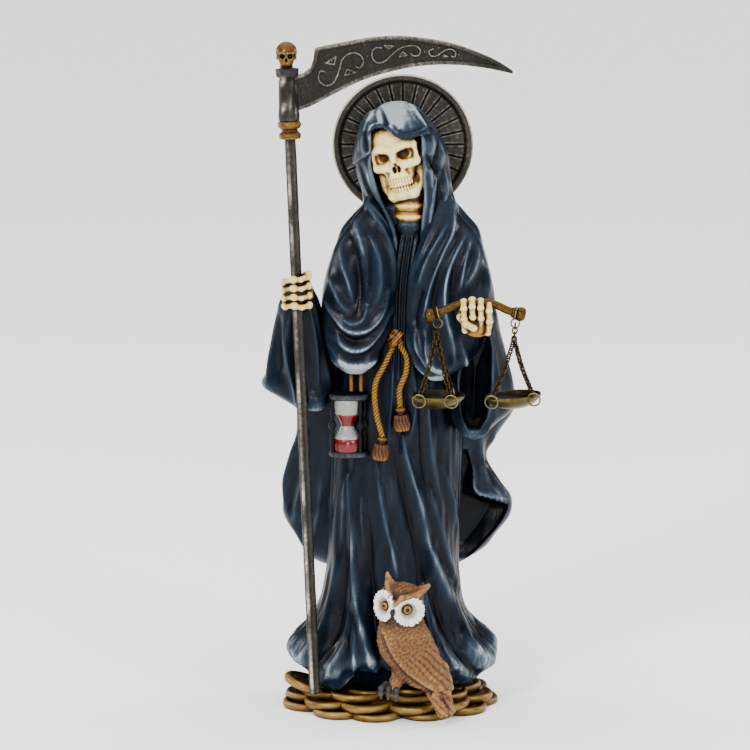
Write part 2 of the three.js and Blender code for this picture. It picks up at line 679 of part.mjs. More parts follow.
// Scythe: a straight shaft on the coins, collar, socket, flange, finial and the carved blade.
const COLLAR_HEIGHT = SCYTHE_HEIGHT - 36.5;
const SOCKET_TOP = SCYTHE_HEIGHT - 13.6;
const BLADE_PLANE = onShaft(SOCKET_TOP).y;

function bladePoint(share, drop) {
  const root = onShaft(SOCKET_TOP).x;
  return new THREE.Vector2(root + share * BLADE_REACH, SCYTHE_HEIGHT - drop);
}

const BACK_EDGE = runs([[0.122, 5.3], [0.245, 2.8], [0.367, 0.7], [0.489, 0], [0.612, 1], [0.734, 3.2],
  [0.856, 7.4], [0.94, 11.2], [1, 15]]);
const CUTTING_EDGE = runs([[0, 33.6], [0.105, 30.1], [0.206, 25], [0.328, 19.3], [0.451, 15.5], [0.573, 13.1],
  [0.696, 12.3], [0.818, 13], [0.9, 14.1], [0.99, 16]]);
const BLADE_BORDER = 1.7;
const BLADE_SINK = 0.5;
const NOTCH = [[0, 17], [0.035, 17.2], [0.075, 15.8], [0.112, 13.4], [0.124, 10]];

// Blade's outline, or that of the sunken field inside a border of the given width.
function bladeShape(border = 0) {
  const [start, tip] = border ? [0.15, 0.87] : [0.122, 1];
  const edge = (drop, from, to, shift) => Array.from({ length: 10 }, (_, index) => {
    const share = from + (to - from) * index / 9;
    return [share, drop(share)[0] + shift];
  });
  const line = [
    ...edge(BACK_EDGE, start, tip, border),
    ...edge(CUTTING_EDGE, Math.min(tip, 0.99), border / BLADE_REACH, -border),
    ...NOTCH.map(([share, drop]) => [share + border / BLADE_REACH, drop + border]),
  ];
  return new THREE.Shape(line.map(([share, drop]) => bladePoint(share, drop)));
}

function slab(shape, depth, middle) {
  const flat = new THREE.ExtrudeGeometry(shape, { depth, bevelEnabled: false, curveSegments: 1 });
  flat.rotateX(Math.PI / 2);
  return solid(flat.translate(0, middle + depth / 2, 0));
}

// Scroll of the blade's relief: an S between two spirals, given by its middles and radii.
function scroll(from, to, radius) {
  const points = [];
  const across = bladePoint(...to).sub(bladePoint(...from));
  const lean = Math.atan2(across.y, across.x);
  const y = BLADE_PLANE - BLADE_THICKNESS / 2 + BLADE_SINK;
  for (const [middle, way, start] of [[from, 1, lean + Math.PI * 1.2], [to, -1, lean]]) {
    const centre = bladePoint(...middle);
    const curl = [];
    for (let step = 0; step <= 4; step += 1) {
      const turn = start + (step - 4) * 0.9;
      const size = radius * (0.36 + 0.16 * step);
      curl.push(vec(centre.x + size * Math.cos(turn), y, centre.y + size * Math.sin(turn)));
    }
    points.push(...(way > 0 ? curl : curl.reverse()));
  }
  return bar(points, 0.6, 8, 3);
}

function scythe() {
  const foot = onShaft(BASE_HEIGHT + FIT_GAP);
  const collar = onShaft(COLLAR_HEIGHT);
  const top = onShaft(SOCKET_TOP);
  const length = collar.distanceTo(foot);
  const shaft = turned([[0, 0], [SHAFT_RADIUS, 0], [SHAFT_RADIUS, length], [0, length]], 8, foot, shaftAxis);
  const neck = SHAFT_RADIUS * 1.9;
  const bead = [[0, -4.2], [neck, -3.4], [neck, -1.6], [neck * 0.72, 0], [neck, 1.6], [neck, 3.4], [0, 4.2]];
  const beads = turned(bead, 9, collar, shaftAxis);
  const tall = top.distanceTo(collar);
  const flange = SHAFT_RADIUS * 2;
  const socket = turned([[0, 0], [SHAFT_RADIUS * 1.8, 0], [SHAFT_RADIUS * 1.6, tall], [flange, tall],
    [flange, tall + 3.2], [0, tall + 3.2]], 9, collar, shaftAxis);
  const plate = slab(bladeShape(0), BLADE_THICKNESS, BLADE_PLANE);
  const field = slab(bladeShape(BLADE_BORDER), BLADE_SINK * 2, BLADE_PLANE - BLADE_THICKNESS / 2);
  const scrolls = [
    scroll([0.175, 19.5], [0.335, 9.5], 3.4),
    scroll([0.4, 7.6], [0.58, 9], 2.5),
    scroll([0.635, 7], [0.745, 8.2], 1.9),
  ];
  const crown = top.clone().addScaledVector(shaftAxis, 3.2);
  const head = crown.clone().addScaledVector(shaftAxis, FINIAL_HEIGHT * 0.55);
  const finial = fuse(
    ball(head.clone().add(vec(0, 0.3, 0.8)), [4.4, 4.6, FINIAL_HEIGHT * 0.42], [0, 0, 0], 8, 5),
    ball(head.clone().add(vec(0, -1.6, -2.6)), [3, 2.8, 3.4], [0, 0, 0], 7, 5),
  ).subtract(fuse(
    ball(head.clone().add(vec(-1.7, -4.2, -0.2)), [1.2, 1.4, 1.1], [0, 0, 0], 5, 4),
    ball(head.clone().add(vec(1.7, -4.2, -0.2)), [1.2, 1.4, 1.1], [0, 0, 0], 5, 4),
  ));
  return fuse(shaft, beads, socket, plate.subtract(field), ...scrolls, finial);
}

const bore = SHAFT_RADIUS + FIT_GAP;
const shaftRoom = turned([[0, -40], [bore, -40], [bore, 60], [0, 60]], 8, grip, shaftAxis);

// Scales: a bowed beam through the right fist, its knobs, and per side a ring, three chains and a pan.
const beamEnd = (side, up = 0) => beamMiddle.clone().add(vec(side * BEAM_SPAN / 2, 0, -4.9 + up));

function beamBar(grow) {
  const line = [
    beamEnd(-1, 0.2),
    beamEnd(-1, -0.2).add(vec(2.4, 0, 0)),
    beamEnd(-0.45, 4),
    beamMiddle.clone(),
    beamEnd(0.45, 3.9),
    beamEnd(1, -0.1).add(vec(-2.4, 0, 0)),
    beamEnd(1, 0.3),
  ];
  return bar(line, BEAM_RADIUS + grow, 8, 5);
}

function scaleBeam() {
  const bell = [[0, -3], [1.6, -3], [2.8, -1.6], [2.9, 0.2], [2, 1.8], [0, 1.8]];
  const knob = (side) => (
    turned(bell, 7, beamEnd(side).add(vec(side * 1.8, 0, 0)), vec(-side, 0, side < 0 ? -0.15 : 0.1)));
  return fuse(beamBar(0), knob(-1), knob(1));
}

const HANGER_DROP = 9.5;
const panRim = (side) => beamEnd(side).add(vec(side * -1.6, 0, -HANGER_DROP - CHAIN_DROP - 1.6));
const PAN_LEAN = { '-1': 0, 1: -0.07 };
const HOOK_ANGLES = { '-1': [-1.1, 0.5, 2.3], 1: [-2.6, -0.6, 1.3] };
const HOOK_RADIUS = 2.5;
const LINK_BITE = 0.12;
const HOOK_TIP = 0.45;

// Hooks: loose rings through the pan's rim that hang down outside it, the front ones facing forwards.
function hookAxis(angle) {
  const facing = angle < 0 ? (angle - Math.PI / 2) / 2 : angle;
  return vec(Math.cos(facing), Math.sin(facing), Math.tan(HOOK_TIP));
}

function hookPlace(side, angle) {
  const lean = vec(Math.cos(angle), Math.sin(angle), 0).applyAxisAngle(vec(0, 1, 0), PAN_LEAN[side]);
  return panRim(side).addScaledVector(lean, PAN_RADIUS - 0.2).add(vec(0, 0, 0.7 - HOOK_RADIUS));
}

function hooks(side, grow) {
  return HOOK_ANGLES[side].map((angle) => (
    ring(hookPlace(side, angle), [HOOK_RADIUS, HOOK_RADIUS], WIRE_RADIUS + grow, hookAxis(angle), 6)));
}

function chainSet(side) {
  const start = beamEnd(side).add(vec(side * -1.6, 0, 0));
  const wrap = BEAM_RADIUS + FIT_GAP + WIRE_RADIUS * 1.6;
  const parts = [ring(start, [wrap, wrap], WIRE_RADIUS, vec(1, 0, 0), 6)];
  const first = start.clone().add(vec(0, 0, -wrap));
  const long = HANGER_DROP - wrap;
  parts.push(ring(first.clone().add(vec(0, 0, -long / 2)), [1.1, long / 2], WIRE_RADIUS, vec(0, 1, 0), 4));
  const hub = first.clone().add(vec(0, 0, -long));
  for (const angle of HOOK_ANGLES[side]) {
    const inward = hookAxis(angle).setZ(0).normalize();
    const foot = hookPlace(side, angle).add(vec(0, 0, HOOK_RADIUS * Math.cos(HOOK_TIP)))
      .addScaledVector(inward, -HOOK_RADIUS * Math.sin(HOOK_TIP));
    const run = foot.clone().sub(hub);
    const count = Math.round(run.length() / LINK_LENGTH);
    const step = run.length() / count;
    const along = run.clone().normalize();
    for (let index = 0; index < count; index += 1) {
      const place = hub.clone().addScaledVector(along, step * (index + 0.5));
      const turn = new THREE.Quaternion().setFromUnitVectors(vec(0, 1, 0), along);
      turn.multiply(new THREE.Quaternion().setFromAxisAngle(vec(0, 1, 0), index * Math.PI / 2));
      const matrix = new THREE.Matrix4().compose(place, turn, vec(1, 1, 1));
      const link = new THREE.OctahedronGeometry(1).scale(LINK_WIDTH / 2, step / 2 + LINK_BITE, WIRE_RADIUS);
      parts.push(solid(link, matrix));
    }
  }
  return fuse(...parts, ...hooks(side, 0));
}

function pan(side) {
  const outer = (share) => PAN_RADIUS * Math.sqrt(share);
  const profile = [[0, -PAN_DEPTH], [outer(0.3), -PAN_DEPTH * 0.94], [outer(0.75), -PAN_DEPTH * 0.45],
    [PAN_RADIUS, -0.4], [PAN_RADIUS, 0.5], [PAN_RADIUS - 2.2, 0.2],
    [outer(0.5), -PAN_DEPTH * 0.75 + PAN_WALL], [0, -PAN_DEPTH + PAN_WALL]];
  const lean = vec(0, 0, 1).applyAxisAngle(vec(0, 1, 0), PAN_LEAN[side]);
  return turned(profile, 11, panRim(side), lean).subtract(fuse(...hooks(side, FIT_GAP)));
}

// Robed figure: everything cast in one, less the room for what is set into it.
const beamRoom = beamBar(FIT_GAP);
const cloth = [skirt(), cloak.subtract(cloakHollow), cloakFold, shoulders, leftLobe, rightLobe, leftSleeve,
  leftArm, rightSleeve, hoodOuter];
const robe = fuse(...cloth)
  .subtract(hoodHollow)
  .subtract(sleeveHollow)
  .add(brow)
  .add(leftHand())
  .add(rightHand())
  .add(rope())
  .add(hourglass())
  .subtract(skullRoom)
  .subtract(haloRoom)
  .subtract(owlMass(FIT_GAP))
  .subtract(shaftRoom)
  .subtract(beamRoom)
  .subtract(coinRoom);
const owl = owlMass(0).add(owlTrim()).subtract(coinRoom);

const finish = (color, roughness, metalness) => (
  new THREE.MeshStandardMaterial({ color, roughness, metalness }));
const figure = new THREE.Group();

function piece(name, shape, material) {
  const mesh = shape.getMesh();
  const geometry = new THREE.BufferGeometry();
  geometry.setAttribute('position', new THREE.BufferAttribute(new Float32Array(mesh.vertProperties), 3));
  geometry.setIndex(new THREE.BufferAttribute(new Uint32Array(mesh.triVerts), 1));
  const made = new THREE.Mesh(geometry, material);
  made.name = name;
  figure.add(made);
}

piece('coin_base', coinBase, finish('#8a6a28', 0.4, 0.6));
piece('robed_figure', casting(robe), finish('#1d2c3e', 0.35, 0));
piece('skull', skull, finish('#e3d6ae', 0.5, 0));
piece('halo', haloDisc(), finish('#34302c', 0.4, 0.6));
piece('owl', casting(owl), finish('#9c683a', 0.6, 0));
piece('scythe', scythe(), finish('#3a3632', 0.4, 0.7));
piece('scale_beam', scaleBeam(), finish('#8a5c20', 0.35, 0.7));
piece('chains_left', chainSet(-1), finish('#6f6238', 0.35, 0.9));
piece('chains_right', chainSet(1), finish('#6f6238', 0.35, 0.9));
piece('pan_left', pan(-1), finish('#74602f', 0.35, 0.9));
piece('pan_right', pan(1), finish('#74602f', 0.35, 0.9));

export default figure;
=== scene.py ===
import math

import bpy
import numpy as np
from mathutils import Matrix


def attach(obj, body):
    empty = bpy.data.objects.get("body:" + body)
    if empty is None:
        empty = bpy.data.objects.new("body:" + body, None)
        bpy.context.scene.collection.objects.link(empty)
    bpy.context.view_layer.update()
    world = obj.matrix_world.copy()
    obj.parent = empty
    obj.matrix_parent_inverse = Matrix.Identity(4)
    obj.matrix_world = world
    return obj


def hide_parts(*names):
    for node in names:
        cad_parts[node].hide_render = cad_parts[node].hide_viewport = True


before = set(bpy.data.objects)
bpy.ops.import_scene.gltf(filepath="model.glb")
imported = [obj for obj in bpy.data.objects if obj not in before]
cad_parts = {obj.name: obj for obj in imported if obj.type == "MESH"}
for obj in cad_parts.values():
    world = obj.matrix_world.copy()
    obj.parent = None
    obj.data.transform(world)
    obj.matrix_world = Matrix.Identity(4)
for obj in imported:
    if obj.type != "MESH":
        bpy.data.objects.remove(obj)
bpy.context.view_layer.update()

MM = 0.001


# Camera, floor and light: the photographer's long lens from just above, a pale sweep and soft boxes.
CAMERA_RANGE = 1.5
CAMERA_RISE = math.radians(9)
AIM = np.array([-5.8, 0, 149.3]) * MM
FRAME_WIDTH = 0.333


def linear(code):
    """A colour written as sRGB hex, as linear light with alpha."""
    parts = [int(code[first:first + 2], 16) / 255 for first in (1, 3, 5)]
    return tuple(part / 12.92 if part <= 0.04045 else ((part + 0.055) / 1.055) ** 2.4
                 for part in parts) + (1.0,)


def node(tree, kind, inputs=None, **settings):
    """Adds a node: settings first, then each input as a value or as a link from another node's output."""
    made = tree.nodes.new(kind)
    for name, value in settings.items():
        setattr(made, name, value)
    for socket, value in (inputs or {}).items():
        if isinstance(value, bpy.types.NodeSocket):
            tree.links.new(value, made.inputs[socket])
        else:
            made.inputs[socket].default_value = value
    return made


def look_at(thing, place, target):
    """Places a camera or lamp and points it at a target, upright."""
    thing.location = place
    away = np.array(target, float) - np.array(place, float)
    flat = math.hypot(away[0], away[1])
    thing.rotation_euler = (math.atan2(flat, -away[2]), 0, math.atan2(-away[0], away[1]))


camera = bpy.data.objects.new("camera", bpy.data.cameras.new("camera"))
bpy.context.scene.collection.objects.link(camera)
camera.data.sensor_width = 36
camera.data.lens = 36 * CAMERA_RANGE / FRAME_WIDTH
camera.data.clip_start = 0.1
reach = CAMERA_RANGE * np.array([0, -math.cos(CAMERA_RISE), math.sin(CAMERA_RISE)])
look_at(camera, AIM + reach, AIM)
bpy.context.scene.camera = camera

LIGHTS = [
    ("key", (-0.7, -1.3, 0.9), 0.3, 24),
    ("fill", (0.95, -1.1, 0.55), 0.35, 10),
    ("front", (0.1, -1.7, 0.3), 0.35, 6),
    ("left_edge", (-1.2, 0.5, 0.45), 0.3, 7),
    ("right_edge", (1.2, 0.5, 0.5), 0.3, 7),
]
for name, place, size, watts in LIGHTS:
    light = bpy.data.objects.new(name, bpy.data.lights.new(name, "AREA"))
    light.data.shape = "DISK"
    light.data.size = size
    light.data.energy = watts
    look_at(light, place, (0, 0, 0.15))
    bpy.context.scene.collection.objects.link(light)

# The studio's ceiling is one wide soft box; its walls are dim, so gloss has something dark to reflect.
world = bpy.data.worlds.new("studio")
world.use_nodes = True
tree = world.node_tree
heading = node(tree, "ShaderNodeTexCoord").outputs["Generated"]
upward = node(tree, "ShaderNodeSeparateXYZ", {"Vector": heading}).outputs["Z"]
ceiling = node(tree, "ShaderNodeMapRange", {"Value": upward, "From Min": 0.3, "From Max": 0.9, "To Min": 0.04,
                                            "To Max": 3.0}, interpolation_type="SMOOTHSTEP")
seen = node(tree, "ShaderNodeLightPath").outputs["Is Camera Ray"]
shown = node(tree, "ShaderNodeMix", {"Factor": seen, "A": ceiling.outputs["Result"], "B": 1.9},
             data_type="FLOAT")
tree.links.new(shown.outputs["Result"], tree.nodes["Background"].inputs["Strength"])
tree.nodes["Background"].inputs["Color"].default_value = linear("#ffffff")
bpy.context.scene.world = world

# The sweep: a pale round floor, well beyond the picture.
floor_steps = np.linspace(0, 2 * math.pi, 96, endpoint=False)
floor_mesh = bpy.data.meshes.new("floor")
floor_mesh.from_pydata([(14 * math.cos(turn), 14 * math.sin(turn), 0) for turn in floor_steps], [],
                       [list(range(96))])
floor = bpy.data.objects.new("floor", floor_mesh)
bpy.context.scene.collection.objects.link(floor)
paper = bpy.data.materials.new("floor_paper")
paper.use_nodes = True
shader = paper.node_tree.nodes["Principled BSDF"]
grain = node(paper.node_tree, "ShaderNodeTexNoise", {"Scale": 3.0, "Detail": 4.0})
tone = node(paper.node_tree, "ShaderNodeMix", {"Factor": grain.outputs["Fac"], "A": linear("#fbfbfa"),
                                               "B": linear("#fefefd")}, data_type="RGBA")
paper.node_tree.links.new(tone.outputs["Result"], shader.inputs["Base Color"])
shader.inputs["Roughness"].default_value = 0.85
floor_mesh.materials.append(paper)


# Robe: cast resin, painted blue-black, dry-brushed pale on the ridges, and washed black in the hollows, with
# painted shade there too.
# It is made as separate skins that lie over each other, as the sculptor's layers of cloth do:
# skirt, cloak, shoulders, two hanging lobes of the mantle, two sleeves, the hood and the shirt.
def along(rows, at):
    """Smooth run through rows of numbers; the first number of each row says where the rest hold."""
    rows = np.asarray(rows, float)
    knots, values = rows[:, 0], rows[:, 1:]
    slopes = np.gradient(values, knots, axis=0)
    at = np.clip(np.asarray(at, float), knots[0], knots[-1])
    low = np.clip(np.searchsorted(knots, at, side="right") - 1, 0, len(knots) - 2)
    span = (knots[low + 1] - knots[low])[..., None]
    t = ((at - knots[low])[..., None]) / span
    start, end = values[low], values[low + 1]
    return (start * (1 + 2 * t) * (1 - t) ** 2 + slopes[low] * span * t * (1 - t) ** 2
            + end * t * t * (3 - 2 * t) + slopes[low + 1] * span * t * t * (t - 1))


def line_through(points, count):
    """Evenly spaced points on the smooth line through a few."""
    points = np.asarray(points, float)
    gaps = np.linalg.norm(np.diff(points, axis=0), axis=1)
    rows = np.column_stack([np.concatenate([[0], np.cumsum(gaps)]), points])
    return along(rows, np.linspace(0, rows[-1, 0], count))


def section(edges, ways, power=2.3):
    """Oval section of cloth: ways 0 to 1 run along the front from left to right, 1 to 2 back behind."""
    left, right, front, back = (edges[:, column, None] for column in range(4))
    angle = math.pi * (1 + ways)[None, :]
    across = np.sign(np.cos(angle)) * np.abs(np.cos(angle)) ** (2 / power)
    deep = np.sign(np.sin(angle)) * np.abs(np.sin(angle)) ** (2 / power)
    middle = back - (back - front) * 0.45
    x = (left + right) / 2 + (right - left) / 2 * across
    y = middle + np.where(deep < 0, middle - front, back - middle) * deep
    return x, y


def spaced(front, behind):
    """Ways round a section, closer together along the front, which the carving is on."""
    return np.concatenate([np.linspace(0, 1, front, endpoint=False),
                           np.linspace(1, 2, behind, endpoint=False)])


def draped(rows, levels, ways, power=2.3):
    """Rings of an upright form whose edges run through rows of height, left, right, front and back."""
    heights = np.linspace(rows[0][0], rows[-1][0], levels)
    x, y = section(along(rows, heights), ways, power)
    return np.stack([x, y, np.broadcast_to(heights[:, None], x.shape)], axis=-1)


def grid_normals(rings):
    """Outward directions at the points of closed rings."""
    sideways = np.roll(rings, -1, axis=1) - np.roll(rings, 1, axis=1)
    normals = np.cross(sideways, np.gradient(rings, axis=0))
    return normals / np.maximum(np.linalg.norm(normals, axis=-1, keepdims=True), 1e-9)


def fold_height(points, folds):
    """Height of the ridges (+) and valleys (-) that run along lines in the x-z plane, at each point.
    Each fold has its width and height, or both of them at its start and end, and its line."""
    flat = points[..., (0, 2)]
    total = np.zeros(flat.shape[:-1])
    for widths, heights, line in folds:
        first, last = widths if isinstance(widths, tuple) else (widths, widths)
        start, end = heights if isinstance(heights, tuple) else (heights, heights)
        path = line_through(line, 20)
        margin = 3.2 * max(first, last)
        near = np.all((flat > path.min(0) - margin) & (flat < path.max(0) + margin), axis=-1)
        spots = flat[near]
        best = np.full(len(spots), 1e9)
        place = np.zeros(len(spots))
        for index in range(len(path) - 1):
            step = path[index + 1] - path[index]
            share = np.clip((spots - path[index]) @ step / (step @ step), 0, 1)
            gap = np.linalg.norm(spots - path[index] - share[:, None] * step, axis=1)
            closer = gap < best
            best[closer] = gap[closer]
            place[closer] = (index + share[closer]) / (len(path) - 1)
        taper = np.sin(np.pi * (0.04 + 0.92 * place)) ** 0.5
        reach = best / (first + (last - first) * place)
        crest = np.exp(0.25 - np.sqrt(reach ** 2 + 0.0625)) * np.clip(3.2 - reach, 0, 1)
        total[near] += (start + (end - start) * place) * taper * crest
    return total


def carve(rings, folds):
    """Raises ridges and sinks valleys on what faces the front."""
    normals = grid_normals(rings)
    return rings + normals * (fold_height(rings, folds) * np.clip(-normals[..., 1] * 2.2, 0, 1))[..., None]


def wobble(points, size, seed, layers=7):
    """Gentle unevenness, about -1 to 1, whose bumps are about so many millimetres across."""
    random = np.random.default_rng(seed)
    total = np.zeros(points.shape[:-1])
    for _ in range(layers):
        direction = random.normal(size=3)
        direction *= 2 * math.pi / (size * random.uniform(0.7, 1.6)) / np.linalg.norm(direction)
        total += np.sin(points @ direction + random.uniform(0, 2 * math.pi))
    return total / layers ** 0.5


def lofted(rings):
    """Points and faces of a closed skin through rings that run anticlockwise seen from their far end.
    Its last two points are the middles of its end caps."""
    levels, around = rings.shape[:2]
    points = rings.reshape(-1, 3)
    steps = np.arange(around)
    start = (np.arange(levels - 1) * around)[:, None]
    a = start + steps
    b = start + (steps + 1) % around
    faces = np.stack([a, b, b + around, a + around], axis=-1).reshape(-1, 4).tolist()
    for level in (0, levels - 1):
        ring = level * around + steps
        middle = len(points)
        points = np.vstack([points, points[ring].mean(axis=0)])
        pairs = zip(ring, np.roll(ring, -1))
        faces += [[middle, far, near] if level == 0 else [middle, near, far] for near, far in pairs]
    return points, faces


def capped(tint):
    """Tint for each point of a lofted skin, with none on the middles of its caps."""
    return np.concatenate([np.ravel(tint), [0, 0]])


def relief_of(points, faces):
    """How far each point stands above (+) or below (-) its surroundings, fine and broad, from -1 to 1."""
    pairs = np.array([(face[index], face[(index + 1) % len(face)]) for face in faces
                      for index in range(len(face))])
    ends = np.concatenate([pairs[:, 0], pairs[:, 1]])
    others = np.concatenate([pairs[:, 1], pairs[:, 0]])
    count = np.maximum(np.bincount(ends, minlength=len(points)), 1)[:, None]

    def smoothed(values, rounds):
        for _ in range(rounds):
            values = np.column_stack([np.bincount(ends, values[others, axis], len(points))
                                      for axis in range(values.shape[1])]) / count
        return values

    corners = [np.array([face[index] for face in faces]) for index in range(3)]
    flat = np.cross(points[corners[1]] - points[corners[0]], points[corners[2]] - points[corners[0]])
    normals = np.zeros_like(points)
    for corner in corners:
        for axis in range(3):
            normals[:, axis] += np.bincount(corner, flat[:, axis], len(points))
    normals /= np.maximum(np.linalg.norm(normals, axis=1, keepdims=True), 1e-12)
    near = smoothed(points, 6)
    far = smoothed(near, 34)
    fine = np.einsum("ij,ij->i", points - near, normals)
    broad = np.einsum("ij,ij->i", near - far, normals)
    shares = []
    for height in (fine, broad):
        spread = max(np.percentile(np.abs(height), 85), 0.02)
        level = height / spread
        shares.append(np.where(level > 0, 0.9 * level / (1 + (level / 2.2) ** 2), np.tanh(0.7 * level)))
    return 0.5 * shares[0] + 0.5 * shares[1]


def piece(name, skin, material, stands_for=(), tint=0.0, carved=1.0):
    """One finished piece from a skin in millimetres. Its relief is kept for the paint, and tint is added
    where the painter brushed more or a highlight is painted (+), or washed more or shade is painted (-);
    carved is the share that relief has in it."""
    points, faces = skin
    mesh = bpy.data.meshes.new(name)
    mesh.from_pydata((points * MM).tolist(), [], faces)
    layer = mesh.attributes.new("relief", "FLOAT", "POINT")
    layer.data.foreach_set("value", (carved * relief_of(points, faces) + tint).astype(np.float32))
    mesh.shade_smooth()
    mesh.materials.append(material)
    made = bpy.data.objects.new(name, mesh)
    bpy.context.scene.collection.objects.link(made)
    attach(made, "root")
    for stood_for in stands_for:
        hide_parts(stood_for)


def painted(name, stops, roughness, coat=0.0, streak=(1, 1, 1), break_up=0.35, grain_size=0.9,
            bump=0.08, metallic=0.0, specular=0.2, wash_and_shade=0.9, dim=0.35):
    """Paint on cast resin, in layers from the hollows (0) to the ridges (1), with brush streaks and a
    fine uneven surface. Streak stretches the brush marks; grain size and bump are in millimetres."""
    material = bpy.data.materials.new(name)
    material.use_nodes = True
    tree = material.node_tree
    shader = tree.nodes["Principled BSDF"]
    place = node(tree, "ShaderNodeTexCoord").outputs["Object"]
    relief = node(tree, "ShaderNodeAttribute", attribute_name="relief").outputs["Fac"]
    turned = node(tree, "ShaderNodeMapping", {"Vector": place, "Scale": [1 / share for share in streak]})
    brush = node(tree, "ShaderNodeTexNoise", {"Vector": turned.outputs["Vector"], "Scale": 1 / (1.6 * MM),
                                              "Detail": 5.0, "Roughness": 0.62})
    patch = node(tree, "ShaderNodeTexNoise", {"Vector": place, "Scale": 1 / (11 * MM), "Detail": 3.0})
    spread = node(tree, "ShaderNodeMath", {0: brush.outputs["Fac"], 1: 0.5}, operation="SUBTRACT")
    # A dry brush leaves streaks on what stands up, and hardly any in the hollows.
    dry = node(tree, "ShaderNodeMapRange", {"Value": relief, "From Min": 0.0, "From Max": 1.0,
                                            "To Min": break_up * 2, "To Max": break_up * 5})
    shifted = node(tree, "ShaderNodeMath", {0: spread.outputs[0], 1: dry.outputs["Result"], 2: relief},
                   operation="MULTIPLY_ADD")
    patchy = node(tree, "ShaderNodeMath", {0: patch.outputs["Fac"], 1: 0.5}, operation="SUBTRACT")
    uneven = node(tree, "ShaderNodeMath", {0: patchy.outputs[0], 1: break_up * 1.6, 2: shifted.outputs[0]},
                  operation="MULTIPLY_ADD")
    # Occlusion finds the hollows and the gaps where pieces meet; there the paint sinks down the layers and
    # darkens, partly a wash and partly painted shade.
    hollow = node(tree, "ShaderNodeAmbientOcclusion", {"Distance": 6 * MM}, samples=6)
    washed = node(tree, "ShaderNodeMapRange", {"Value": hollow.outputs["AO"], "From Min": 0.25,
                                               "From Max": 0.8, "To Min": -wash_and_shade, "To Max": 0.0})
    sunk = node(tree, "ShaderNodeMath", {0: uneven.outputs[0], 1: washed.outputs["Result"]}, operation="ADD")
    level = node(tree, "ShaderNodeMapRange", {"Value": sunk.outputs[0], "From Min": -1.0, "From Max": 1.0})
    ramp = node(tree, "ShaderNodeValToRGB", {"Fac": level.outputs["Result"]})
    ramp.color_ramp.interpolation = "EASE"
    while len(ramp.color_ramp.elements) < len(stops):
        ramp.color_ramp.elements.new(0.5)
    for element, (position, code) in zip(ramp.color_ramp.elements, stops):
        element.position = position
        element.color = linear(code)
    shade = node(tree, "ShaderNodeMapRange", {"Value": hollow.outputs["AO"], "From Min": 0.1, "From Max": 0.6,
                                              "To Min": dim, "To Max": 1.0})
    coloured = node(tree, "ShaderNodeVectorMath",
                    {0: ramp.outputs["Color"], "Scale": shade.outputs["Result"]}, operation="SCALE")
    tree.links.new(coloured.outputs["Vector"], shader.inputs["Base Color"])
    gloss = node(tree, "ShaderNodeMapRange", {"Value": brush.outputs["Fac"], "From Min": 0.3, "From Max": 0.7,
                                              "To Min": roughness - 0.06, "To Max": roughness + 0.1})
    tree.links.new(gloss.outputs["Result"], shader.inputs["Roughness"])
    shader.inputs["Coat Weight"].default_value = coat
    shader.inputs["Coat Roughness"].default_value = 0.18
    shader.inputs["Metallic"].default_value = metallic
    shader.inputs["Specular IOR Level"].default_value = specular
    fine = node(tree, "ShaderNodeTexNoise", {"Vector": place, "Scale": 1 / (grain_size * MM), "Detail": 3.0})
    raised = node(tree, "ShaderNodeBump", {"Height": fine.outputs["Fac"], "Distance": bump * MM,
                                           "Strength": 1.0})
    tree.links.new(raised.outputs["Normal"], shader.inputs["Normal"])
    return material


# Blue-black satin paint of the robe.
robe_paint = painted("robe_paint", [(0.0, "#010102"), (0.3, "#020409"), (0.5, "#070e17"), (0.68, "#101b27"),
                                    (0.84, "#232f3b"), (0.94, "#4a545e"), (1.0, "#858d93")],
                     roughness=0.3, streak=(1, 1, 7), break_up=0.13, specular=0.1)

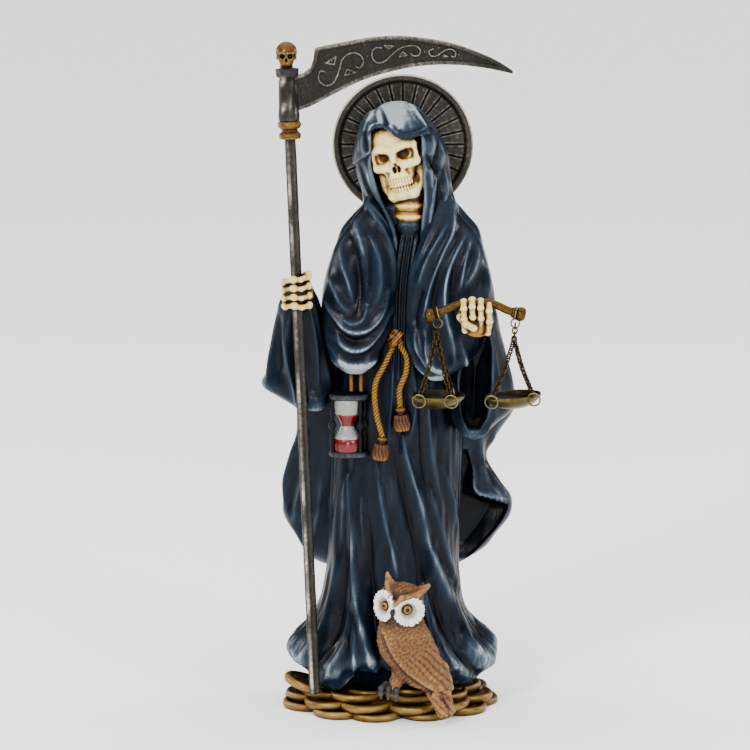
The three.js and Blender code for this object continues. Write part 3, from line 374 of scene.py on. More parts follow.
# Skirt: long folds fall from under the belt and spread on the coins in a waved hem.
# Painted resin, one casting with the rest of the robe; it stands on the coins.
SKIRT = [
    (9, -40, 42, -25, 28), (18, -45.5, 49, -29.5, 33), (25, -44, 48.5, -29, 33), (34, -37, 40, -27.5, 31),
    (46, -30.5, 34, -26, 29), (60, -27.5, 32, -24.5, 27), (95, -26.4, 33, -22.5, 25),
    (145, -24, 34, -20.5, 22), (190, -18, 34, -18.5, 20), (218, 2, 16, -15.5, 12),
]
HEM = [(0, 18), (0.1, 19), (0.24, 12.2), (0.33, 12), (0.38, 19.5), (0.46, 21.5), (0.6, 17), (0.8, 12.5),
       (0.92, 14), (1, 19), (1.3, 13), (1.7, 14), (2, 18)]
SKIRT_FOLDS = [
    ((1.0, 3.2), (1.5, 3.5), [(-20.7, 112), (-21.6, 96), (-22.0, 80.3), (-22.3, 60.6), (-25.0, 46.4),
                              (-29.7, 35.3), (-33.6, 29.8), (-41, 21.5), (-46, 14)]),
    ((1.0, 2.6), (1.2, 2.6), [(-24.5, 86), (-25.8, 68.5), (-28.1, 54.3), (-31.2, 44.8), (-35.9, 38.5),
                              (-44, 32)]),
    ((1.3, 3.4), (2.2, 4.2), [(-17.2, 106.4), (-15.8, 88), (-14.8, 75.6), (-14.1, 56.6), (-11.3, 40.9),
                              (-9.0, 29.8), (-5.9, 22.7), (-3.5, 12)]),
    ((1.0, 2.8), (1.0, 3.0), [(-17.2, 50), (-18.0, 37.7), (-21.1, 28.2), (-25.8, 21.9), (-30, 14)]),
    (1.2, 1.6, [(-14.8, 42), (-14.8, 25.1), (-16.4, 13.2), (-17, 6)]),
    ((1.2, 2.4), (-2.0, -3.0), [(-18.7, 90), (-18.9, 75.6), (-19.9, 52.7), (-23.4, 36.1), (-30.4, 25.1),
                                (-36, 15)]),
    ((1.6, 2.6), (-2.0, -3.5), [(-8.8, 90), (-7.8, 64.5), (-6.7, 47.2), (-4.7, 33), (-2.2, 20)]),
    ((1.6, 3.4), (2.6, 4.0), [(6.0, 124.3), (10.0, 109.1), (14.4, 92.6), (17.1, 77.1), (20.2, 67.7),
                              (24.9, 54.3), (30.4, 40.9), (37.4, 29.8), (46, 20.3), (52, 12)]),
    ((1.2, 2.8), (1.6, 2.8), [(16.5, 105), (20.5, 92), (23.4, 80.3), (27.3, 65.3), (32.7, 51.1),
                              (38.9, 40.9), (48, 32.5)]),
    ((1.2, 1.6), 1.5, [(23.6, 111.8), (27.6, 99.3), (29.8, 85.4), (32.1, 70.6), (34, 58)]),
    (1.2, 2.0, [(15.9, 58), (17.9, 48.7), (21.8, 36.1), (28.0, 25.1), (33.5, 19.5), (38, 12)]),
    (1.0, 1.6, [(15, 56), (16.3, 47.2), (19.5, 33), (24.9, 21.9), (29, 10)]),
    ((1.0, 2.0), (-1.6, -3.0), [(19, 60), (21.8, 47.2), (27.3, 34.5), (33.5, 25.1), (41, 14)]),
    ((1.2, 2.2), (-1.6, -2.6), [(22, 75), (28.8, 56.6), (35.8, 43.2), (46, 30)]),
    ((1.4, 2.2), (1.8, 2.4), [(-5.4, 112), (-1.8, 90.8), (1.7, 75.1), (4.3, 61.6), (6.1, 47.1), (8, 30)]),
    (0.9, 1.3, [(-18.5, 104), (-19.0, 90), (-20.0, 76)]),
    (0.8, 1.1, [(-12.5, 104), (-11.5, 90), (-10.8, 76)]),
    (2.0, -2.4, [(3.0, 118), (7.0, 100), (11.4, 80), (14.0, 66), (13.0, 50)]),
    (1.6, 1.8, [(0.5, 168), (2.0, 150), (1.0, 132), (-2.0, 112)]),
    (1.5, 1.7, [(10.5, 158), (12.0, 140), (10.0, 124)]),
    (1.3, -1.6, [(6.5, 160), (5.5, 140), (4.0, 122)]),
    (1.2, 1.3, [(17.0, 150), (18.0, 130), (20.0, 110), (23.5, 92)]),
    (1.2, -1.4, [(14.0, 140), (14.5, 120), (17.5, 100)]),
    (1.0, 1.4, [(-49.0, 29.5), (-44.5, 31.5), (-40.0, 33.8)]),
]
BACK_PLEATS = 8


def pleated(rings, ways, depth, count, swell=1.0):
    """Regular round pleats behind, plainer than the carved front."""
    normals = grid_normals(rings)
    behind = np.clip((ways - 1) * 8, 0, 1) * np.clip((2 - ways) * 8, 0, 1)
    wave = np.cos(ways * math.pi * 2 * count + 0.9 * wobble(rings, 60, count))
    return rings + normals * (depth * behind[None, :] * wave * swell)[..., None]


ways = spaced(230, 62)
rings = draped(SKIRT, 150, ways, 2.1)
heights = rings[..., 2]
hem = along(HEM, ways)[:, 0]
# Above 45 mm the rings lie level; below, they bend down to the waved hem.
low = np.clip((45 - heights) / (45 - 9), 0, 1)
rings[..., 2] = heights + low ** 1.5 * (hem[None, :] - 9)
swell = (np.clip((172 - rings[..., 2]) / 120, 0, 1) ** 0.8)
rings = pleated(rings, ways, 1.7, BACK_PLEATS, swell)
rings = carve(rings, SKIRT_FOLDS)
rings = rings + grid_normals(rings) * (0.22 * wobble(rings * [1, 1, 0.25], 5, 3))[..., None]
under = rings[0] * [0.93, 0.93, 1] + [0, 0, 1.6]
deep = rings[0] * [0.8, 0.8, 0] + [0, 0, 11.2]
lip = rings[0] * [0.985, 0.985, 1] - [0, 0, 0.5]
skirt_rings = np.concatenate([[deep, under, lip], rings])
# The spread hem is brushed less than the folds above it.
tint = capped(-0.2 * np.clip((38 - skirt_rings[..., 2]) / 16, 0, 1))
piece("skirt", lofted(skirt_rings), robe_paint, ["robed_figure"], tint=tint, carved=1.15)

# Cloak: it hangs behind the skirt, wide at the sides, and its hem drops to a point behind.
# Painted resin of the same casting, whose upper edge runs in under the mantle.
CLOAK = [
    (58, -24, 29, 10, 30), (61, -32, 34, 7, 33), (67, -38, 43.5, 5, 34), (74, -41.5, 49, 3, 34),
    (83, -47.2, 55.5, 2, 34), (90, -47.4, 56, 2, 33.5), (99, -47, 50, 0, 33), (110, -44, 44.5, -2, 32),
    (120, -41, 49, -4, 31), (133, -40.5, 57, -5, 30.5), (150, -36, 54, -6, 30), (175, -29, 47, -8, 29),
    (205, -22, 41, -8, 26.5), (220, -12, 33, -6, 21),
]
CLOAK_FOLDS = [
    (1.8, 2.4, [(-41.1, 128.5), (-42.9, 112.1), (-46.1, 103.0), (-46.6, 89.3)]),
    (2.0, 1.6, [(-45.1, 84.0), (-41.0, 77.0), (-37.0, 68.0)]),
    (1.8, 1.8, [(-36.1, 120.9), (-37.0, 105.3), (-40.2, 91.6), (-42.0, 80.5)]),
    (1.6, 1.4, [(-29.6, 101.6), (-31.4, 84.9), (-35.0, 69.6)]),
    (2.0, -2.0, [(-38.4, 115.3), (-42.9, 98.9), (-43.6, 86.0)]),
    (1.4, 2.2, [(41.0, 124.0), (41.5, 112.0), (43.5, 101.0), (49.0, 93.0)]),
    (1.2, 1.6, [(47.5, 122.0), (46.5, 112.0), (48.5, 103.0), (53.0, 93.0)]),
    (1.4, -1.8, [(45.0, 120.0), (44.5, 108.0), (47.0, 97.0)]),
    (1.3, 1.5, [(38.4, 107.0), (38.7, 96.5), (42.5, 92.2), (48.0, 91.4), (54.0, 91.0)]),
]
# The cloak's right side hangs open under its folded edge: height, left edge, right edge, depth.
CLOAK_HOLLOW = [(63, 24, 35, 3), (66, 24, 39, 7), (76.5, 24, 48.6, 11), (84, 24, 53.4, 12),
                (87.5, 24, 54.8, 12), (90.2, 24, 53.5, 12), (91.2, 24, 44, 11), (95.5, 24, 38.0, 9),
                (107, 24, 37.8, 7), (116, 26, 35, 4)]


def hollowed(rings, rows, rim, front):
    """Pushes back what faces the front inside an opening whose edges run through rows of height, left,
    right and depth; the rim is the step at its edge, and front is how far back the pushing reaches."""
    x, z = rings[..., 0], rings[..., 2]
    columns = np.array(rows).T
    edges = sum(np.stack([np.interp(z + shift, columns[0], column) for column in columns[1:]], axis=-1)
                for shift in (-2.4, -1.2, 0, 1.2, 2.4)) / 5
    inside = np.minimum(x - edges[..., 0], edges[..., 1] - x)
    inside = np.minimum(inside, np.minimum((z - rows[0][0]) * 1.2, (rows[-1][0] - z) * 0.3))
    push = np.clip(inside / 0.8, 0, 1) * rim
    push += np.clip(inside / 9, 0, 1) ** 0.7 * np.maximum(edges[..., 2] - rim, 0)
    push = push * (rings[..., 1] < front)
    return rings + push[..., None] * [0, 1, 0], push


ways = spaced(210, 66)
rings = draped(CLOAK, 160, ways, 2.2)
rings = pleated(rings, ways, 1.5, 5)
rings = carve(rings, CLOAK_FOLDS)
rings, push = hollowed(rings, CLOAK_HOLLOW, 1.8, 16)
# Inside the hollow the paint is darker: painted shade under the folded edge.
tint = capped(0.06 - 0.5 * np.clip(push / 4, 0, 1))
piece("cloak", lofted(rings), robe_paint, tint=tint, carved=0.85)


# Shoulders: the round form of the mantle under its two hanging lobes, cast with the robe.
# Two folds show beside the right lobe, and plain pleats run down behind.
SHOULDERS = [
    (160, -25, 48, -14, 24), (175, -29.4, 48, -18, 26), (193, -27.7, 45.4, -19, 26),
    (206, -23.4, 42.2, -18, 25), (215, -20, 39.4, -15, 22), (220, -15.9, 35, -13, 19), (227, -9, 29, -10, 15),
]
ways = spaced(84, 66)
rings = draped(SHOULDERS, 66, ways)
rings = pleated(rings, ways, 1.3, 5)
SHOULDER_FOLDS = [
    (1.4, 1.9, [(38.9, 208.7), (40.5, 199.6), (42.5, 188.0), (44.0, 176.0)]),
    (1.5, 1.6, [(41.5, 203.1), (44.6, 192.2), (46.5, 182.0)]),
]
piece("shoulders", lofted(carve(rings, SHOULDER_FOLDS)), robe_paint)

# Mantle: it hangs in front in two lobes, its folds falling from the neck and turning up to the arms.
# Each lobe is cast on the shoulders, which it overhangs.
LEFT_LOBE = [
    (154, -19.5, -9.5, -25, -8), (157.5, -24.4, -6.4, -28, -6), (163, -27, -3.5, -29, -4),
    (172, -29.5, 1, -29, -2), (185, -28.8, 3, -28, -2), (198, -26.4, 3.4, -27, -2),
    (210, -22.6, 2, -24.5, -2), (220, -15.5, -0.5, -21, -2), (228, -10.5, -2, -16, -2), (236, -8, -5, -9, -2),
]
LEFT_LOBE_FOLDS = [
    (2.1, 2.2, [(-14.5, 220.1), (-13.2, 214.8), (-11.9, 210.0), (-10.6, 205.2)]),
    (1.5, 2.0, [(-18.8, 213.5), (-20.5, 207.4), (-19.7, 201.3), (-17.5, 194.3), (-15.4, 186.4)]),
    (1.6, 1.9, [(-25.3, 195.6), (-23.2, 190.4), (-20.6, 185.1), (-17.1, 180.3)]),
    (3.2, 2.9, [(-6.7, 212.7), (-4.9, 205.7), (-4.1, 198.7), (-4.5, 190.8), (-6.7, 183.8)]),
    (1.2, 1.7, [(-19.7, 178.1), (-15.8, 176.3), (-11.9, 177.6), (-9.3, 182.9)]),
    (1.8, 2.8, [(-27.1, 185.5), (-22.8, 178.1), (-17.6, 173.0), (-12.3, 172.4), (-7.5, 174.6), (-3.6, 180.7),
                (-1.0, 190.8)]),
    (1.7, 2.6, [(-22.3, 170.6), (-19.3, 166.6), (-15.4, 164.7), (-11.5, 165.1), (-7.5, 168.0), (-3.2, 174.1),
                (-0.1, 182.0)]),
    (2.1, 2.3, [(-25.4, 166.2), (-21.9, 161.4), (-17.1, 157.8), (-11.9, 157.2), (-6.7, 159.6), (-1.9, 165.8),
                (1.2, 173.7), (2.5, 183.8), (3.1, 196.1), (2.0, 208.3)]),
    (1.3, 1.9, [(-10.1, 227.5), (-5.4, 220.5), (-1.9, 213.5), (0.3, 205.7), (0.9, 197.8), (0.7, 190.8)]),
    (1.0, 1.4, [(-8.4, 227.9), (-3.6, 221.4), (0.3, 214.0), (2.2, 207.4)]),
    (3.0, -3.5, [(-15.8, 212.7), (-13.6, 203.1), (-12.3, 193.0), (-13.2, 182.9)]),
    (2.1, -1.7, [(-9.3, 213.5), (-8.4, 203.1), (-8.4, 191.7)]),
    (1.6, -1.9, [(-24.9, 179.4), (-20.6, 172.4), (-15.4, 168.9), (-10.2, 169.7), (-5.4, 175.0)]),
    (1.5, -1.6, [(-24.1, 167.5), (-19.7, 163.1), (-14.5, 161.1), (-8.9, 163.1), (-4.1, 169.3),
                 (-0.6, 178.5)]),
]
RIGHT_LOBE = [
    (151, 17.5, 25.5, -25, -6), (155, 13, 32, -28, -4), (163, 9, 40, -29, -2), (175, 7.3, 46.5, -28.5, 0),
    (188, 7.8, 46.5, -28, 0), (200, 10, 43.5, -27, 0), (212, 13.7, 39.5, -24, 0), (222, 16.5, 31, -20, 0),
    (229, 18, 27.5, -15, 0), (236, 20, 25, -8, 0),
]
RIGHT_LOBE_FOLDS = [
    (1.5, 2.2, [(16.3, 230.1), (16.7, 216.2), (13.1, 202.2), (9.2, 189.1), (8.6, 178.5), (9.9, 167.1),
                (13.4, 156.9), (18.2, 152.1), (23.0, 152.5)]),
    (1.2, 2.0, [(26.2, 237.9), (27.5, 225.7), (28.4, 217.5), (23.7, 205.7), (19.6, 195.6), (17.0, 186.9),
                (15.7, 179.8)]),
    (1.5, 2.2, [(25.0, 217.9), (20.6, 209.6), (16.8, 201.3), (13.7, 193.4)]),
    (1.1, 1.4, [(19.3, 217.0), (16.3, 207.4), (13.7, 200.4)]),
    (1.4, 2.2, [(32.8, 213.5), (29.3, 206.8), (25.9, 197.4), (24.6, 188.2), (25.1, 179.4)]),
    (1.1, 1.7, [(34.7, 210.9), (32.8, 201.3), (31.1, 191.7)]),
    (1.4, 1.9, [(38.9, 208.7), (37.2, 199.6), (33.7, 192.6)]),
    (1.5, 1.6, [(41.5, 203.1), (43.3, 195.2), (42.9, 186.4)]),
    (1.4, 1.9, [(11.8, 175.0), (13.4, 164.9), (17.3, 157.4)]),
    (1.4, 1.9, [(16.4, 170.2), (17.3, 162.2), (19.9, 156.5), (23.4, 155.2)]),
    (1.8, 2.0, [(25.5, 178.5), (27.7, 168.9), (28.6, 159.2)]),
    (1.5, 1.7, [(32.1, 166.6), (33.9, 155.6), (32.2, 145.9)]),
    (2.3, -2.2, [(22.4, 200.4), (19.8, 189.9), (18.6, 178.5), (19.9, 166.6)]),
    (1.8, -1.9, [(28.9, 203.1), (27.7, 190.8), (29.0, 178.5)]),
    (1.2, -1.4, [(14.2, 190.8), (11.6, 178.5), (13.4, 168.0)]),
]
ways = spaced(126, 26)
for name, rows, folds, brushed in (("left_lobe", LEFT_LOBE, LEFT_LOBE_FOLDS, 0.02),
                                   ("right_lobe", RIGHT_LOBE, RIGHT_LOBE_FOLDS, 0.1)):
    piece(name, lofted(carve(draped(rows, 112, ways), folds)), robe_paint, tint=brushed, carved=1.25)

# Sleeves: bells cast with the mantle, from which the hands' bones come out.
# The one on the right hangs open under its fist, with a deep dark mouth.
LEFT_SLEEVE = [
    (136.5, -35, -29, -21, -10), (139, -43, -26, -23, -2), (142, -49, -24.8, -23.5, 2),
    (145.5, -55, -24.6, -23, 4), (152, -54, -24.6, -22.5, 4), (165, -51.7, -26.6, -22.5, 4),
    (178, -49, -28.6, -22.5, 2), (186, -46.5, -31.2, -21.5, 0), (192, -40, -34.5, -18, -4),
]
LEFT_SLEEVE_FOLDS = [
    (1.5, 1.9, [(-46.8, 185.6), (-49.5, 174.6), (-51.3, 162.7), (-53.6, 147.6)]),
    (1.8, 2.6, [(-44.2, 181.2), (-45.1, 170.2), (-43.9, 158.2), (-40.9, 144.9), (-38.7, 136.0)]),
    (1.1, 1.4, [(-38.6, 177.7), (-37.3, 165.8), (-36.0, 153.8), (-34.7, 141.4)]),
    (1.6, 2.3, [(-33.3, 185.6), (-30.7, 172.4), (-28.6, 159.1), (-26.0, 144.9)]),
    (0.9, 1.2, [(-35.5, 185.6), (-33.3, 174.6), (-31.6, 161.3), (-30.8, 148.0)]),
    (1.6, -2.2, [(-46.9, 177.7), (-47.8, 165.8), (-47.0, 153.8)]),
    (1.6, -2.2, [(-41.2, 179.0), (-40.4, 165.8), (-38.7, 152.5), (-36.1, 141.4)]),
    (1.0, -1.0, [(-30.7, 180.3), (-29.0, 165.8)]),
]
RIGHT_SLEEVE = [
    (124.6, 36.4, 38.4, -19, -12), (125.4, 34.2, 41, -23, -9), (127.6, 31.2, 44.2, -26, -4),
    (131, 28.7, 48.5, -27, 1), (136, 27.4, 55, -27.5, 6), (145, 27.2, 55.5, -28, 6),
    (160, 29, 52, -29, 6), (172, 31, 49, -30, 6), (180, 32, 47.5, -28, 4), (186, 34, 45, -22, 2),
    (189, 36, 43, -16, 0),
]
RIGHT_SLEEVE_FOLDS = [
    (1.3, 1.9, [(27.7, 166.6), (26.5, 155.6), (26.9, 144.6), (29.2, 133.5)]),
    (1.1, 1.7, [(32.1, 169.7), (31.3, 157.8), (31.7, 144.6), (33.6, 131.3)]),
    (1.7, 2.0, [(47.3, 178.5), (50.0, 166.6), (52.7, 153.4), (55.4, 140.1)]),
    (1.2, 1.6, [(44.3, 171.1), (46.1, 160.0), (47.5, 146.8), (46.2, 133.5)]),
    (1.2, 1.7, [(27.4, 137.0), (29.6, 130.0), (33.1, 126.6), (37.5, 126.0), (41.9, 127.7), (44.9, 133.1)]),
    (1.1, -1.3, [(29.5, 168.9), (29.1, 155.6), (30.0, 142.4)]),
]
# Mouth of the sleeve on the right: height, left edge, right edge and depth of the hollow.
SLEEVE_MOUTH = [(129.5, 35.5, 39.5, 3), (134, 32, 43, 12), (148, 31, 45, 16), (165, 33, 45, 14),
                (176, 35, 43, 5)]

ways = spaced(116, 26)
rings = carve(draped(LEFT_SLEEVE, 90, ways), LEFT_SLEEVE_FOLDS)
piece("left_sleeve", lofted(rings), robe_paint)
rings, push = hollowed(carve(draped(RIGHT_SLEEVE, 100, ways), RIGHT_SLEEVE_FOLDS), SLEEVE_MOUTH, 6.0, -8)
# Inside the mouth the paint is darker: painted shade.
tint = capped(-0.15 * np.clip(push / 6, 0, 1))
piece("right_sleeve", lofted(rings), robe_paint, tint=tint, carved=0.8)


# Hood: one skin, open in front. Its brow is a smooth dome that stands out over the skull and ends in
# a rolled lip; the left side hangs in a corner over an under layer, and both sides fall to the chest.
def ellipsoid(points, centre, halves):
    """Distance, about, to an ellipsoid with these half sizes."""
    shares = (points - centre) / halves
    size = np.linalg.norm(shares, axis=-1)
    slope = np.maximum(np.linalg.norm(shares / halves, axis=-1), 1e-6)
    return size * (size - 1) / slope


def bar(points, start, end, start_radius, end_radius=None):
    """Distance to a round bar between two points, whose radius may change along it."""
    start, end = np.asarray(start, float), np.asarray(end, float)
    end_radius = start_radius if end_radius is None else end_radius
    along_bar = end - start
    share = np.clip((points - start) @ along_bar / max(along_bar @ along_bar, 1e-9), 0, 1)
    gap = points - start - share[..., None] * along_bar
    return np.linalg.norm(gap, axis=-1) - (start_radius + (end_radius - start_radius) * share)


def joined(first, second, soft):
    """Union of two fields with a soft fillet that is about so many millimetres wide."""
    blend = np.maximum(soft - np.abs(first - second), 0) / soft
    return np.minimum(first, second) - blend * blend * soft / 4


def cut(first, second, soft):
    """The first field less the second, with a softened edge."""
    return -joined(-first, second, soft)


def netted(field, low, high, cell):
    """Skin where a field crosses zero: one point in each crossed cell, one face on each crossed edge."""
    axes = [np.arange(start, end + cell, cell) for start, end in zip(low, high)]
    grid = np.stack(np.meshgrid(*axes, indexing="ij"), axis=-1)
    values = field(grid)
    # What reaches the edge of the grid is closed off there.
    for axis in range(3):
        border = [slice(None)] * 3
        border[axis] = [0, -1]
        values[tuple(border)] = np.maximum(values[tuple(border)], cell)
    cells = tuple(count - 1 for count in values.shape)
    total = np.zeros(cells + (3,))
    count = np.zeros(cells)
    crossings = []
    for axis in range(3):
        near = [slice(None)] * 3
        far = [slice(None)] * 3
        near[axis], far[axis] = slice(None, -1), slice(1, None)
        first, second = values[tuple(near)], values[tuple(far)]
        crossed = (first < 0) != (second < 0)
        share = np.where(crossed, first / np.where(crossed, first - second, 1), 0)
        points = grid[tuple(near)] + share[..., None] * (grid[tuple(far)] - grid[tuple(near)])
        others = [other for other in range(3) if other != axis]
        for step in range(4):
            view = [slice(None)] * 3
            for other, shift in zip(others, (step & 1, step >> 1)):
                view[other] = slice(1, None) if shift else slice(None, -1)
            view = tuple(view)
            total += points[view] * crossed[view][..., None]
            count += crossed[view]
        crossings.append((axis, others, crossed, first < 0))
    active = count > 0
    numbers = np.cumsum(active.ravel()).reshape(cells) - 1
    skin_points = total[active] / count[active][:, None]
    faces = []
    for axis, others, crossed, solid in crossings:
        for inside in (True, False):
            places = np.argwhere(crossed & (solid == inside))
            beside = places[:, others]
            fits = np.all((beside > 0) & (beside < np.array(values.shape)[others] - 1), axis=1)
            places = places[fits]
            corners = []
            for first, second in ((1, 1), (0, 1), (0, 0), (1, 0)):
                spot = places.copy()
                spot[:, others[0]] -= first
                spot[:, others[1]] -= second
                corners.append(numbers[tuple(spot.T)])
            quads = np.column_stack(corners)
            if (axis == 1) == inside:
                quads = quads[:, ::-1]
            faces += quads.tolist()
    return skin_points, faces


def skin_normals(points, faces):
    """Outward directions at the points of a skin made of four-sided faces."""
    quads = np.array(faces)
    flat = np.cross(points[quads[:, 2]] - points[quads[:, 0]], points[quads[:, 3]] - points[quads[:, 1]])
    normals = np.zeros_like(points)
    for corner in quads.T:
        for axis in range(3):
            normals[:, axis] += np.bincount(corner, flat[:, axis], len(points))
    return normals / np.maximum(np.linalg.norm(normals, axis=1, keepdims=True), 1e-12)


def pressed(skin, push):
    """Moves a skin's points along their normals by what push gives for points and normals."""
    points, faces = skin
    normals = skin_normals(points, faces)
    return points + normals * push(points, normals)[:, None], faces


def folds_push(folds):
    """A push for pressed() that carves folds on what faces the front."""
    return lambda points, normals: fold_height(points, folds) * np.clip(-normals[:, 1] * 2.2, 0, 1)


HOOD = [
    (204, -17, 35, -19, 17), (214, -13, 33, -19, 16), (222, -11, 31.5, -19, 14),
    (231, -11.5, 28.6, -19.5, 13), (241, -14.2, 27.1, -20.5, 12.5), (248, -14.2, 26.3, -21.5, 12.5),
    (255, -12.8, 23.6, -22.5, 12.5), (262, -10.4, 18.5, -21, 11), (266, -7.0, 13.6, -16, 8),
    (268.5, -2.0, 8.5, -10, 4),
]
HOOD_OPENING = [
    (204, 4.8, 13.5, -9), (212, 3.6, 13.8, -9), (218, 2.1, 14.2, -7), (224, -1.2, 15.0, -4),
    (230.5, -3.9, 15.4, -1), (238, -5.9, 14.9, 1), (244.7, -7.4, 14.8, 2), (252, -7.2, 14.3, 2),
    (262, -7.6, 13.6, 0),
]
BROW_LIP = [(-8.6, -16.0, 258.0), (-6.2, -18.6, 261.2), (-2.6, -20.6, 261.8), (0.4, -22.2, 260.6),
            (2.6, -23.0, 258.6), (6.2, -23.4, 257.2), (11, -22.4, 257.8), (16.4, -18.4, 259.6)]
HOOD_FOLDS = [
    (0.8, 1.0, [(17.3, 263.7), (23.4, 254.8), (26.2, 247.1), (26.9, 240.4), (26.5, 235.4)]),
    (1.6, 1.7, [(18.8, 257.5), (19.4, 252.5), (18.4, 247.9)]),
    (0.9, 1.3, [(22.0, 254.3), (23.6, 248.2), (22.6, 242.6), (22.1, 238.4)]),
    (1.3, -1.6, [(20.9, 257.1), (21.4, 250.4), (20.8, 244.3), (21.3, 237.6)]),
    (1.0, -1.6, [(16.6, 248.5), (19.0, 244.6), (23.0, 242.0)]),
    (1.1, 1.2, [(18.9, 243.5), (18.6, 238.8), (18.7, 234.3)]),
    (1.1, 1.7, [(21.0, 238.5), (19.6, 232.1), (19.1, 226.5), (17.5, 216.0), (14.0, 206.0)]),
    (0.9, 1.3, [(24.3, 241.5), (25.2, 234.9), (24.0, 226.8), (21.0, 217.0), (17.5, 207.0)]),
    (0.9, 1.2, [(26.8, 236.5), (28.6, 228.8), (27.5, 220.1), (24.0, 209.0)]),
    (1.1, -1.5, [(22.6, 240.0), (22.2, 232.0), (21.3, 224.0), (18.0, 212.0)]),
    (1.1, 1.3, [(-5.9, 268.1), (-9.2, 262.6), (-11.1, 256.5), (-11.1, 251.5), (-10.0, 248.0)]),
    (0.9, 0.9, [(-13.0, 258.5), (-13.8, 253.5), (-14.0, 248.0)]),
    (1.0, -1.4, [(-8.4, 263.7), (-10.3, 256.9), (-9.2, 250.4)]),
    (0.9, -0.9, [(-11.4, 261.7), (-12.6, 255.9), (-12.4, 250.4)]),
    (1.0, 1.6, [(-10.2, 244.6), (-8.3, 238.0), (-5.2, 230.9), (-1.2, 222.9), (2.2, 214.0), (3.6, 206.0)]),
    (0.9, 1.2, [(-13.1, 243.1), (-10.9, 236.4), (-8.1, 229.9), (-4.2, 221.7), (-0.6, 213.0), (1.4, 206.0)]),
    (0.9, -1.5, [(-12.0, 243.6), (-9.9, 236.0), (-6.8, 229.9), (-2.9, 222.3), (1.0, 213.0)]),
    (0.9, 1.0, [(-13.2, 236.0), (-10.5, 229.0), (-7.4, 222.0), (-4.0, 214.0)]),
    (0.8, -1.0, [(-12.2, 234.5), (-9.4, 228.5), (-5.9, 220.5)]),
    (1.0, 1.4, [(8.5, 272.0), (12.9, 265.9), (16.5, 260.5)]),
    (1.6, -1.2, [(12.8, 269.9), (17.5, 263.0)]),
    (0.7, -1.9, [(-2.4, 267.0), (-1.3, 264.2), (-0.6, 261.4)]),
    (1.3, 0.9, [(-4.6, 268.0), (-3.9, 264.6), (-4.2, 262.5)]),
    (2.0, 0.8, [(1.5, 269.0), (3.0, 264.6), (6.0, 260.5)]),
]


LIP_LINE = line_through(BROW_LIP, 22)


def oval_field(points, rows, power=2.3):
    """Distance, about, to a form with oval level sections, by rows of height, left, right, front, back."""
    left, right, front, back = np.moveaxis(along(rows, points[:1, :1, :, 2]), -1, 0)
    half, middle = (right - left) / 2, back - (back - front) * 0.45
    deep = np.where(points[..., 1] < middle, middle - front, back - middle)
    across = np.abs((points[..., 0] - (left + right) / 2) / half)
    size = (across ** power + np.abs((points[..., 1] - middle) / deep) ** power) ** (1 / power)
    return (size - 1) * np.minimum(half, deep)


def hood_field(points):
    x, y, z = points[..., 0], points[..., 1], points[..., 2]
    skin = cut(np.maximum(oval_field(points, HOOD), HOOD[0][0] - z), 268.0 - z, 6.0)
    skin = joined(skin, ellipsoid(points, (4.2, -6.4, 257.0), (14.6, 16.2, 14.4)), 4.0)
    # The left side is thicker down to the corner that it ends in.
    skin -= 1.0 * np.clip((z - 248.2 - 0.9 * (x + 9.3)) / 0.7, 0, 1) * np.clip((-5 - x) / 3, 0, 1)
    open_left, open_right, hollow = np.moveaxis(along(HOOD_OPENING, points[:1, :1, :, 2]), -1, 0)
    top = np.interp(x, LIP_LINE[:, 0], LIP_LINE[:, 2])
    opening = np.maximum(np.maximum(open_left - x, x - open_right), np.maximum(y - hollow, z - top))
    skin = cut(skin, opening, 1.2)
    for start, end in zip(LIP_LINE[:-1], LIP_LINE[1:]):
        skin = joined(skin, bar(points, start, end, 0.7), 1.2)
    return skin


hood_skin = pressed(netted(hood_field, (-19, -25.5, 203), (37, 19, 274), 0.6), folds_push(HOOD_FOLDS))
spots = hood_skin[0]
# The brow is brushed pale all over, with a painted highlight where the light falls on its top, and painted
# shade lies along its lip.
brushed_and_lit = np.exp(-(((spots[:, 0] - 2.5) / 13) ** 2 + ((spots[:, 2] - 267.5) / 8.5) ** 2))
brushed_and_lit *= np.clip(-spots[:, 1] / 4, 0, 1)
lip_height = np.interp(spots[:, 0], LIP_LINE[:, 0], LIP_LINE[:, 2])
lip_shade = (np.abs(spots[:, 2] - lip_height) < 1.0) & (spots[:, 1] < -14)
piece("hood", hood_skin, robe_paint, tint=1.0 * brushed_and_lit - 0.5 * lip_shade, carved=0.9 - 0.55 * brushed_and_lit)

# Shirt under the mantle: a round collar band and close upright pleats.
# It is cast with the robe, and shows as a strip from the neck bones to the belt.
SHIRT = [(150, -3, 12, -21, -6), (168, -1, 12, -22.5, -6), (200, 0, 14, -22, -4), (214, 2.5, 15.5, -19.5, -2),
         (218.5, 3.2, 15.3, -18.6, -2), (219.5, 3.5, 15, -17.5, -3)]
rings = draped(SHIRT, 60, spaced(92, 12))
normals = grid_normals(rings)
across = rings[..., 0] - along([(150, 4.5), (200, 6.0), (219.5, 9.2)], rings[..., 2])[..., 0]
pleats = np.cos(across * 2 * math.pi / 2.3) * np.clip((214.5 - rings[..., 2]) / 2, 0, 1)
band = np.exp(-((rings[..., 2] - 216.6) / 1.1) ** 4)
rings = rings + normals * (0.45 * pleats + 0.6 * band)[..., None]
piece("shirt", lofted(rings), robe_paint, tint=capped(-0.15 - 0.45 * band))

# Hands: bare bones modelled in one casting with the robe, painted ivory with a brown wash and painted shade
# in the gaps.
# One grips the scythe's shaft, and the other is a fist over the balance's beam.
bone_paint = painted("bone_paint", [(0.0, "#130802"), (0.22, "#4d2c00"), (0.4, "#9a762b"), (0.53, "#caaf6c"),
                                    (0.75, "#dfc98e"), (1.0, "#eee0b8")],
                     roughness=0.5, break_up=0.19, grain_size=0.7, bump=0.06, wash_and_shade=0.75, dim=0.6)
GRIP = np.array([-39.7, -27.5, 191.0])
FOOT = np.array([-32.4, -26.0, 10.8])


